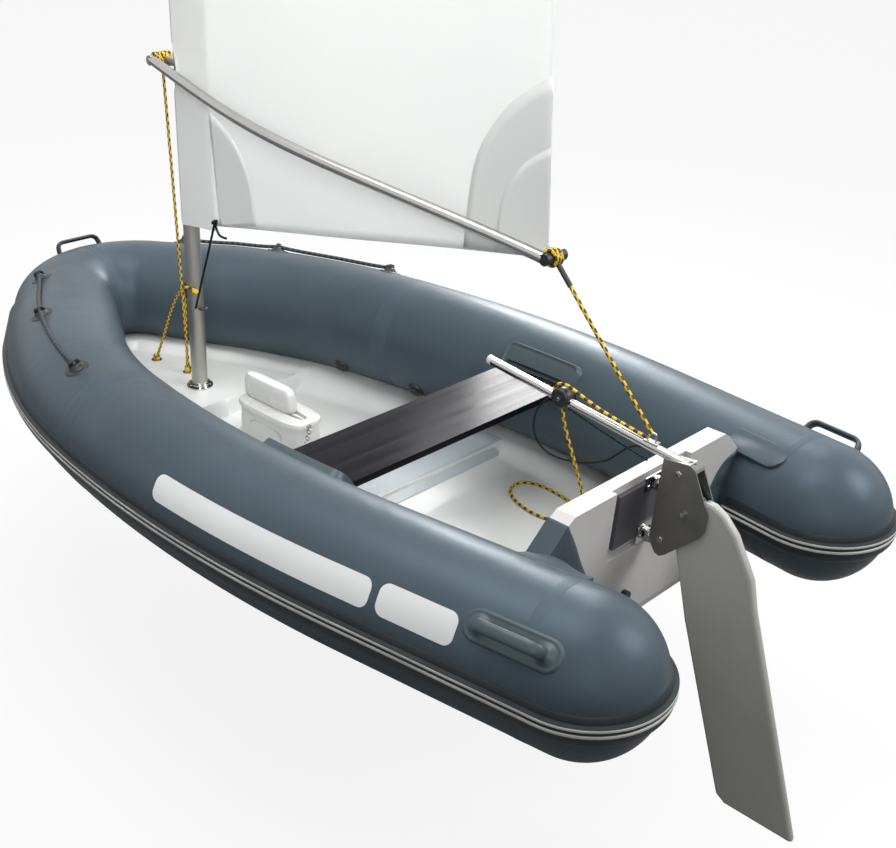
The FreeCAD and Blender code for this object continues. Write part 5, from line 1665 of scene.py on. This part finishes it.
    def make(self) -> None:
        """Build and dress the fittings."""
        for side in Side:
            self.dressing.piece(self.holder(side), "moulded_rubber", "hull",
                                ["thwart_holder_%s" % side.word])
            patch, grip = self.stern_handle(side)
            self.dressing.piece(joined("stern_handle_%s_moulded" % side.word, [patch, grip]),
                                "moulded_rubber", "hull", ["stern_handle_%s" % side.word])
            self.lifeline(side)
        self.bow_handle()
        self.valves()


@dataclass
class TransomFabric:
    """The fabric that joins the transom to the tubes."""

    dressing: Dressing
    port: tuple[Pair, ...] = ((0.305, 0.3345), (0.275, 0.290), (0.243, 0.224), (0.218, 0.182),
                                             (0.204, 0.158), (0.196, 0.110), (0.206, 0.050), (0.240, 0.010),
                                             (0.262, -0.008))
    starboard: tuple[Pair, ...] = ((0.354, 0.2805), (0.314, 0.278), (0.282, 0.256),
                                                  (0.260, 0.223), (0.248, 0.189), (0.246, 0.150),
                                                  (0.258, 0.090), (0.300, 0.030), (0.330, -0.008))

    def tube_side(self, height: float) -> float:
        """Distance of the tube's skin from the centreline beside the transom."""
        place = PLAN.at(0.190)
        rise = min(abs(height - place.point.z), PLAN.radius * 0.999)
        return place.point.y - math.sqrt(PLAN.radius ** 2 - rise ** 2) / math.cos(place.heading)

    def aft_sheet(self, side: Side) -> Piece:
        """The sheet on the transom's aft face."""
        curve = self.port if side is Side.PORT else self.starboard
        line = route_points([(0.0, y, z) for y, z in curve], 8)
        columns, rows = len(line) - 1, 14

        def spot(column: int, row: int) -> Vector:
            """A point of the sheet."""
            share = row / rows
            inner = line[column]
            height = inner.z
            limit = self.tube_side(height) + 0.006
            if height > 0.277:
                limit = min(limit, 0.304 + (0.336 - height) * 0.061 / 0.059)
            outer = max(inner.y + 0.001, limit)
            y = inner.y + (outer - inner.y) * share
            lift = 0.0024 * smooth_step(share * 6)
            lift += 0.0016 * math.sin(math.pi * share) * math.sin(column * 0.4)
            x = raked(TRANSOM_BACK, height) - 0.0005 - lift
            return Vector((x, side.value * y, height))

        made = grid_skin("flap_sheet_%s" % side.word, columns, rows, spot, by_step(0.008, 0.008))
        return apply_modifier(made, "SOLIDIFY", thickness=0.0016, offset=0.0)

    def ear_sheet(self) -> Piece:
        """The sheet over the port ear's sloping top."""
        columns, rows = 14, 12

        def spot(column: int, row: int) -> Vector:
            """A point of the sheet."""
            share, back = column / columns, row / rows
            y, z = 0.3045 + 0.062 * share, 0.3368 - 0.060 * share
            x = raked(TRANSOM_BACK, z) - 0.003 + 0.055 * back
            lift = 0.0016 + 0.0012 * math.sin(math.pi * back)
            return Vector((x, y + lift * 0.7, z + lift * 0.7))

        made = grid_skin("ear_sheet", columns, rows, spot, by_step(0.006, 0.005))
        return apply_modifier(made, "SOLIDIFY", thickness=0.002, offset=0.0)

    def tongue(self, side: Side) -> Piece:
        """The loose tongue along the tube, its free edge a little lifted."""
        begin, end, low, high = 0.052, 0.215, 113.0, 137.0
        half_x, half_y = (end - begin) / 2, math.radians(high - low) / 2 * PLAN.radius

        def lift(along: float, around: float) -> float:
            """Height of the tongue."""
            nose = max(0.0, -along - half_x + half_y)
            width = math.sqrt(max(0.0, half_y ** 2 - nose ** 2)) - 0.001
            inside = min(width - abs(around), along + half_x)
            raised = 0.0022 * smooth_step(inside / 0.002)
            wave = 0.8 + 0.35 * math.sin(42 * along + 0.6)
            free = 0.016 * wave * smooth_step((around + half_y * 0.5) / (1.4 * half_y))
            free *= smooth_step(inside / 0.001)
            return raised + free - 0.002 * smooth_step(-inside / 0.001)

        return blister("tongue_%s" % side.word, side, begin, end, low, high, lift, 0.0018)

    def make(self) -> None:
        """Build and dress the fabric on both sides."""
        for side in Side:
            made = [self.aft_sheet(side), self.tongue(side)]
            if side is Side.PORT:
                made.append(self.ear_sheet())
            self.dressing.piece(joined("transom_fabric_%s" % side.word, made), "flap_fabric", "hull",
                                ["transom_flap_%s" % side.word])


@dataclass(frozen=True)
class Rope:
    """A rope by its control points, for one body or from one body to another."""

    name: str
    radius: float
    finish: str
    bodies: tuple[str, ...]
    points: tuple[Triple, ...]


SHEET_TAIL = ((-0.757, 0.0, 0.4155), (-0.758, -0.002, 0.385), (-0.774, -0.020, 0.310),
              (-0.796, -0.056, 0.180), (-0.806, -0.092, 0.050), (-0.800, -0.150, -0.038),
              (-0.724, -0.262, -0.0457),
              (-0.620, -0.318, -0.0457), (-0.520, -0.343, -0.0457), (-0.430, -0.348, -0.0457),
              (-0.383, -0.318, -0.0457), (-0.396, -0.262, -0.0457), (-0.450, -0.226, -0.0457),
              (-0.530, -0.208, -0.0457), (-0.610, -0.222, -0.0457), (-0.690, -0.196, -0.0457))
DOWNHAUL = ((-0.727, -0.014, 0.432), (-0.690, -0.030, 0.410), (-0.640, -0.044, 0.350),
            (-0.636, -0.050, 0.280), (-0.690, -0.050, 0.247), (-0.780, -0.048, 0.262),
            (-0.862, -0.040, 0.300), (-0.905, -0.030, 0.344), (-0.935, -0.024, 0.374),
            (-0.968, -0.020, 0.388), (-1.010, -0.020, 0.390), (-1.052, -0.020, 0.385))
ROPES = (
    Rope("mainsheet", 0.0045, "yellow_braid", ("hull", "rig"),
         ((-1.005, 0.0, 0.438), (-0.900, 0.0, 0.548), (-0.800, 0.0, 0.655), (-0.712, 0.0, 0.750))),
    Rope("sheet_lead", 0.0042, "yellow_braid", ("rudder",),
         ((-0.996, 0.006, 0.428), (-0.930, 0.007, 0.438), (-0.850, 0.006, 0.452), (-0.782, 0.003, 0.472),
          (-0.757, 0.0, 0.474), (-0.735, -0.002, 0.468), (-0.727, -0.002, 0.452))),
    Rope("under_line", 0.002, "dark_braid", ("rudder",),
         ((-0.780, 0.010, 0.424), (-0.850, 0.008, 0.406), (-0.940, 0.004, 0.385), (-1.000, 0.0, 0.371))),
    Rope("hold_down_strap", 0.0055, "dark_braid", ("rudder", "blade"),
         ((-1.112, 0.0, 0.400), (-1.128, 0.0, 0.381), (-1.146, 0.0, 0.360), (-1.164, 0.0, 0.339))),
    Rope("tack_line", 0.0042, "yellow_braid", ("hull", "rig"),
         ((0.758, -0.036, 0.010), (0.752, -0.024, 0.330), (0.748, -0.012, 0.650), (0.745, 0.0, 0.965))),
    Rope("cleat_line", 0.0042, "yellow_braid", ("hull", "rig"),
         ((0.905, -0.018, 0.006), (0.836, -0.006, 0.110), (0.752, 0.020, 0.225), (0.676, 0.034, 0.318),
          (0.640, 0.034, 0.336), (0.618, 0.022, 0.326))),
    Rope("downhaul_fall", 0.0032, "yellow_braid", ("hull", "rig"),
         ((0.758, -0.030, 0.008), (0.738, -0.018, 0.090), (0.716, -0.008, 0.190), (0.700, 0.0, 0.292))),
    Rope("outhaul_line", 0.0034, "dark_braid", ("rig",),
         ((0.530, 0.004, 0.552), (0.556, 0.008, 0.470), (0.590, 0.014, 0.370), (0.622, 0.020, 0.268))),
    Rope("outhaul_end", 0.0034, "dark_braid", ("rig",),
         ((0.530, 0.004, 0.552), (0.518, 0.006, 0.528), (0.500, 0.008, 0.516), (0.474, 0.008, 0.519))),
)


def length_of(route: Sequence[Vector]) -> float:
    """Length along a line of points."""
    return sum((b - a).length for a, b in zip(route, route[1:]))


@dataclass
class Ropes:
    """The free ropes, the held ropes of the tables above, the windings and the knots."""

    dressing: Dressing

    def lay(self, rope: Rope) -> None:
        """Build one rope; one with two bodies is only dressed and baked in place."""
        blended = len(rope.bodies) == 2
        made = rope_mesh(rope.name, route_points(rope.points, 10 if blended else 12), rope.radius)
        if not blended:
            self.dressing.piece(made, rope.finish, rope.bodies[0])
            return
        self.dressing.dress(made, rope.finish)
        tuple(rope.points[0])
        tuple(rope.points[-1])
        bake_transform(made)
        LOG.info("%s runs from %s to %s", rope.name, *rope.bodies)

    def knot(self, name: str, place: Sequence[float], along: Sequence[float], radius: float) -> Piece:
        """A pulled-up overhand knot: three crossing turns of the rope."""
        point, way = Vector(place), Vector(along).normalized()
        across = way.cross(UP).normalized()
        up = across.cross(way)
        turns = []
        for lean in (-0.5, 0.1, 0.7):
            ring = []
            for index in range(13):
                angle = math.tau * index / 12
                ring.append(point + way * (radius * 1.1 * lean + radius * 0.9 * math.sin(angle + lean))
                            + across * radius * 1.35 * math.cos(angle)
                            + up * radius * 1.25 * math.sin(angle))
            turns.append(rope_mesh(name + "_turn", ring, radius * 0.95, 12))
        return joined(name, turns)

    def coil(self, name: str, origin: Vector, axis: Vector, reach: float, turns: int,
             radius: float) -> Piece:
        """A rope wound side by side round a bar."""
        first = axis.orthogonal().normalized()
        second = axis.cross(first)
        line = []
        for index in range(turns * 16 + 1):
            angle = math.tau * index / 16
            line.append(origin + axis * (index / 16 - turns / 2) * radius * 2.05
                        + (first * math.cos(angle) + second * math.sin(angle)) * (reach + radius * 0.96))
        return rope_mesh(name, line, radius, 12)

    def free_ropes(self) -> None:
        """The sheet's tail with its knot and the downhaul's slack loop."""
        route = route_points(SHEET_TAIL)
        made = rope_mesh("sheet_tail_rope", route, 0.004)
        self.dressing.dress(made, "yellow_braid")
        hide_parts("sheet_tail")
        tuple(SHEET_TAIL[0])
        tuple(SHEET_TAIL[5])
        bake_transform(made)
        knot = self.knot("sheet_tail_knot", route[-1], route[-1] - route[-6], 0.004)
        self.dressing.piece(knot, "yellow_braid", "hull")
        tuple(SHEET_TAIL[0])
        round(length_of(route), 3)
        [tuple(point) for point in route]
        route = route_points(DOWNHAUL)
        made = rope_mesh("downhaul_rope", route, 0.0025)
        self.dressing.piece(made, "dark_braid", "rudder", ["downhaul_line"])
        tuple(DOWNHAUL[0])
        round(length_of(route), 3)
        [tuple(point) for point in route]

    def make(self) -> None:
        """Build every rope, winding and knot."""
        self.free_ropes()
        for rope in ROPES:
            self.lay(rope)
        windings = [self.coil("front_winding", Vector((0.742, 0.0, 0.978)), ACROSS, 0.014, 6, 0.0042),
                    self.coil("sheet_winding", Vector((-0.698, 0.0, 0.762)), ACROSS, 0.014, 3, 0.0045)]
        knots = [self.knot("lead_knot", (0.904, -0.018, 0.010), (-0.55, 0.1, 0.82), 0.0046),
                 self.knot("foot_knot", (0.758, -0.034, 0.012), (-0.02, 0.05, 1), 0.0046)]
        self.dressing.piece(joined("rig_windings", windings), "yellow_braid", "rig")
        self.dressing.piece(joined("deck_knots", knots), "yellow_braid", "hull")
        top, way = Vector((-0.710, 0.0, 0.752)), Vector((-0.293, 0, -0.312)).normalized()
        splice = rope_mesh("sheet_splice", [top + way * 0.012 * i for i in range(6)], 0.0062, 16)
        self.dressing.piece(splice, "black_plastic", "rig")
        knots = [self.knot("outhaul_knot", (0.530, 0.004, 0.552), (0.3, 0.05, -0.9), 0.0042),
                 self.knot("cleat_knot", (0.616, 0.022, 0.322), (-0.8, -0.2, -0.5), 0.0044)]
        for knot, finish in zip(knots, ("dark_braid", "yellow_braid")):
            self.dressing.piece(knot, finish, "rig")


@dataclass
class RudderFittings:
    """Blade, bolts, blocks and caps on the rudder."""

    dressing: Dressing
    pivot: Pair = (-1.118, 0.291)
    drop: float = 0.692
    half: float = 0.011
    outline: tuple[Pair, ...] = (
        (0.020, 0.062), (-0.032, 0.068), (-0.094, 0.065), (-0.134, 0.045), (-0.186, -0.007),
        (-0.260, -0.137), (-0.285, -0.238), (-0.542, -1.0), (-0.285, -0.997), (-0.250, -0.975),
        (-0.233, -0.928), (-0.042, -0.377), (0.022, -0.145), (0.055, -0.042), (0.058, 0.013), (0.045, 0.045))

    def blade(self) -> Piece:
        """The blade with its chamfered edges."""
        corners = [(self.pivot[0] + x * self.drop, self.pivot[1] + z * self.drop) for x, z in self.outline]
        made = plate("rudder_blade_laminate", corners, lambda x, z: Vector((x, -self.half, z)),
                     Vector((0, 2 * self.half, 0)))
        bevelled(made, 0.0085, 2, 50.0)
        bevelled(made, 0.0012, 2, 20.0)
        return settle(made, 25)

    def bolt(self, name: str, x: float, z: float, radius: float) -> Piece:
        """A through bolt with a domed head on one side and a nut on the other."""
        head = drum(name + "_head", Vector((x, 0.0185, z)), ACROSS, radius, 0.004, 28, 0.0012)
        nut = drum(name + "_nut", Vector((x, -0.019, z)), ACROSS, radius * 1.1, 0.004, 6, 0.0005)
        return joined(name, [head, nut])

    def make(self) -> None:
        """Build and dress the rudder's pieces."""
        dressing = self.dressing
        dressing.piece(self.blade(), "blade_laminate", "blade", ["rudder_blade"])
        bolts = [self.bolt("cheek_bolt", x, z, 0.0075) for x, z in
                 ((-1.094, 0.380), (-1.066, 0.205))]
        dressing.piece(joined("cheek_bolts", bolts), "polished_steel", "rudder")
        way = Vector((0.582, 0, 0.066)).normalized()
        aft, fore = Vector((-1.108, 0, 0.397)), Vector((-0.526, 0, 0.463))
        cap = drum("tiller_end_cap", aft - way * 0.004, way, 0.0128, 0.018, 32, 0.003)
        dressing.piece(cap, "black_plastic", "rudder")
        plug = drum("tiller_tip", fore - way * 0.006, way, 0.0118, 0.014, 32, 0.003)
        dressing.piece(plug, "case_white", "rudder")
        self.sheet_block()
        self.ratchet()
        self.plate_bolts()

    def sheet_block(self) -> None:
        """The saddle and the eye that hold the sheet on the tiller."""
        base = Vector((-1.006, 0, 0.4085))
        made = [brick("block_saddle", base + Vector((-0.018, -0.009, 0.0085)),
                      base + Vector((0.018, 0.009, 0.0135)), 0.0018),
                arch("block_eye", base + Vector((0, 0, 0.012)), AHEAD, UP, 0.020, 0.019,
                     0.0028, 0.002)]
        for side in Side:
            made.append(drum("block_screw", base + Vector((0.013 * side.value, 0, 0.0142)), UP,
                             0.0032, 0.0024, 16, 0.0008))
        self.dressing.piece(joined("sheet_block", made), "polished_steel", "rudder")

    def ratchet(self) -> None:
        """The ratchet's wheel between two cheeks, with its axle."""
        centre, across = Vector((-0.757, 0, 0.4428)), ACROSS
        cheeks = []
        for side in Side:
            out = side.value
            cheeks.append(drum("ratchet_cheek", centre + across * 0.0165 * out, across * out, 0.0262, 0.006,
                               40, 0.0022, top=0.0215))
            cheeks.append(drum("ratchet_boss", centre + across * 0.020 * out, across, 0.010, 0.004, 28,
                               0.0012))
        wheel = drum("ratchet_wheel", centre, across, 0.0225, 0.027, 40, 0.002)
        cheeks.append(wheel)
        self.dressing.piece(joined("ratchet_block", cheeks), "black_plastic", "rudder", ["tiller_ratchet"])
        axle = drum("ratchet_axle", centre, across, 0.0045, 0.0458, 24, 0.001)
        foot = brick("ratchet_foot", (-0.782, -0.010, 0.4255), (-0.732, 0.010, 0.4285), 0.001)
        self.dressing.piece(joined("ratchet_steel", [axle, foot]), "polished_steel", "rudder")

    def plate_bolts(self) -> None:
        """The bolts of the gudgeons' plates."""
        bolts = []
        for height in (0.326, 0.197):
            for y in (-0.0265, 0.0265):
                spot = Vector((raked(TRANSOM_BACK, height) - 0.0045, y, height))
                bolts.append(drum("plate_bolt", spot, AHEAD, 0.0052, 0.005, 6, 0.0006))
        self.dressing.piece(joined("plate_bolts", bolts), "polished_steel", "hull")


@dataclass
class MastFittings:
    """Bolts on the deck ring, and the deck eyes and the collar at the mast's foot."""

    dressing: Dressing

    def make(self) -> None:
        """Build and dress the fittings at the mast's foot."""
        foot = Vector((0.650, 0, 0.0))
        made = []
        for index in range(6):
            angle = math.tau * (index + 0.5) / 6
            spot = foot + Vector((math.cos(angle), math.sin(angle), 0)) * 0.0335
            made.append(drum("ring_bolt", Vector((spot.x, spot.y, 0.0095)), UP, 0.0038, 0.003, 6,
                             0.0006))
        for point in ((0.758, -0.034), (0.905, -0.018)):
            made.append(drum("deck_plate", Vector((*point, 0.001)), UP, 0.017, 0.003, 32, 0.0008))
            made.append(arch("deck_eye", Vector((*point, 0.002)), Vector((0.4, 0.9, 0)).normalized(),
                             UP, 0.018, 0.015, 0.0024, 0.001))
        self.dressing.piece(joined("deck_fittings", made), "polished_steel", "hull")
        collar = drum("mast_collar", foot + Vector((0, 0, 0.0125)), UP, 0.0272, 0.008, 48, 0.002)
        self.dressing.piece(collar, "polished_steel", "hull")


NODE_FINISHES = {
    "cross_beam": "beam_coating",
    "transom": "transom_white", "transom_pad": "pad_plastic", "drain_plug": "black_plastic",
    "thwart": "dark_board", "mast_step_ring": "polished_steel", "mast": "dull_alloy",
    "mast_cap": "black_plastic", "mast_cleat": "black_plastic", "mast_eye": "black_plastic",
    "boom_arm_port": "bright_alloy", "boom_arm_starboard": "bright_alloy",
    "boom_end_fitting": "black_plastic", "boom_front_fitting": "dull_alloy",
    "gudgeon_upper": "polished_steel", "gudgeon_lower": "polished_steel", "pintles": "polished_steel",
    "rudder_stock": "stock_plate", "tiller": "bright_alloy", "blade_pivot_pin": "polished_steel",
}


@dataclass
class Studio:
    """Floor, lights, world and the camera at the photograph's viewing angle."""

    camera_point: Triple = (-2.374, 2.150, 1.667)
    yaw: float = -0.8282
    pitch: float = -0.4536
    roll: float = 0.0376
    lens: float = 51.625
    floor_height: float = -0.60
    surround: float = 0.85
    horizon: float = 0.04
    glow: float = 0.86
    tone: float = 0.88
    glossy_tone: float = 0.3
    diffuse_tone: float = 0.07

    def camera(self) -> None:
        """Make the camera and make it the scene's."""
        data = bpy.data.cameras.new("camera")
        data.lens = self.lens
        data.sensor_width = 36.0
        camera = bpy.data.objects.new("camera", data)
        bpy.context.scene.collection.objects.link(camera)
        level = math.cos(self.pitch)
        forward = Vector((level * math.cos(self.yaw), level * math.sin(self.yaw), math.sin(self.pitch)))
        right = Vector((math.sin(self.yaw), -math.cos(self.yaw), 0))
        upward = right.cross(forward)
        across = right * math.cos(self.roll) + upward * math.sin(self.roll)
        upright = upward * math.cos(self.roll) - right * math.sin(self.roll)
        turn = Matrix((across, upright, -forward)).transposed().to_4x4()
        camera.matrix_world = Matrix.Translation(self.camera_point) @ turn
        bpy.context.scene.camera = camera

    def lamp(self, name: str, point: Sequence[float], aim: Sequence[float], size: Pair,
             power: float, lights_matt: bool = True, spread: float = 180.0) -> None:
        """A rectangular soft lamp, or one that only shows in reflections."""
        data = bpy.data.lights.new(name, "AREA")
        data.shape = "RECTANGLE"
        data.size, data.size_y = size
        data.energy = power
        data.spread = math.radians(spread)
        lamp = bpy.data.objects.new(name, data)
        bpy.context.scene.collection.objects.link(lamp)
        lamp.visible_diffuse = lights_matt
        lamp.location = point
        lamp.rotation_euler = (Vector(aim) - Vector(point)).to_track_quat("-Z", "Y").to_euler()

    def floor(self) -> None:
        """A pale floor that the camera sees white, with the boat's shadow on it."""
        clear_selection()
        bpy.ops.mesh.primitive_plane_add(size=60, location=(0, 0, self.floor_height))
        floor = place_in_mesh(take("floor"))
        material = bpy.data.materials.new("floor_white")
        material.use_nodes = True
        wires = Wiring(material.node_tree)
        shader = material.node_tree.nodes["Principled BSDF"]
        shader.inputs["Specular IOR Level"].default_value = 0.0
        shader.inputs["Roughness"].default_value = 0.9
        rays = wires.node("LightPath")
        seen = wires.math("MAXIMUM", rays.outputs["Is Camera Ray"], rays.outputs["Is Transmission Ray"])
        glow = wires.node("Emission", in_Color=(1, 1, 1, 1), in_Strength=1.0)
        tone = wires.mix(rays.outputs["Is Glossy Ray"], rgba((self.tone,) * 3),
                         rgba((self.glossy_tone,) * 3))
        tone = wires.mix(rays.outputs["Is Diffuse Ray"], tone, rgba((self.diffuse_tone,) * 3))
        wires.link(tone, shader.inputs["Base Color"])
        blend = wires.node("MixShader", in_0=wires.math("MULTIPLY", seen, self.glow), in_1=shader.outputs[0],
                           in_2=glow.outputs[0])
        wires.link(blend.outputs[0], material.node_tree.nodes["Material Output"].inputs[0])
        floor.data.materials.append(material)

    def world(self) -> None:
        """White for the camera and in reflections; otherwise soft light that fades to the horizon."""
        world = bpy.data.worlds.new("studio")
        bpy.context.scene.world = world
        world.use_nodes = True
        wires = Wiring(world.node_tree)
        back = world.node_tree.nodes["Background"]
        rays = wires.node("LightPath")
        seen = wires.math("MAXIMUM", rays.outputs["Is Camera Ray"],
                          wires.math("MAXIMUM", rays.outputs["Is Glossy Ray"],
                                     rays.outputs["Is Transmission Ray"]))
        back.inputs["Color"].default_value = (1, 1, 1, 1)
        height = wires.node("SeparateXYZ", in_0=wires.node("TexCoord").outputs["Generated"]).outputs[2]
        soft = wires.math("MULTIPLY_ADD", wires.ramp(height, 0.1, 0.95), self.surround - self.horizon,
                          self.horizon)
        wires.link(wires.math("MAXIMUM", seen, soft), back.inputs["Strength"])

    def make(self) -> None:
        """Set up the studio."""
        self.camera()
        self.floor()
        self.world()
        self.lamp("key", (0.1, 0.6, 4.4), (-0.1, 0.0, 0.2), (2.6, 2.6), 108.0)
        self.lamp("fill", (-3.4, -2.2, 3.0), (0.0, 0.0, 0.2), (2.0, 2.0), 108.0)
        self.lamp("front", (-3.3, 3.3, 2.9), (0.1, 0.0, 1.5), (1.8, 1.8), 12.0, spread=40.0)
        self.lamp("rear", (1.7, -3.2, 3.3), (0.2, 0.0, 0.8), (2.0, 2.0), 62.0)
        self.lamp("window", (1.72, -3.25, 1.66), (-0.35, -0.3, 0.26), (0.9, 0.85), 56.0, False)
        bpy.context.scene.view_settings.view_transform = "Standard"


def dress_nodes(nodes: dict[str, Piece], dressing: Dressing) -> None:
    """Dress the CAD nodes that stay as they are."""
    for name, finish in NODE_FINISHES.items():
        dressing.dress(nodes[name], finish)


def main() -> None:
    """Build the dressed boat."""
    logging.basicConfig(level=logging.INFO, format="%(name)s %(message)s")
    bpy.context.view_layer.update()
    Studio().make()
    dressing = Dressing()
    dressing.prepare()
    for group in (Ropes, Tubes, Strake, TubeFittings, TransomFabric, Panels, Mouldings, CentreCase, Sail,
                  RudderFittings, MastFittings):
        group(dressing).make()
    dress_nodes(frame["nodes"], dressing)


if __name__ == "__main__":
    main()
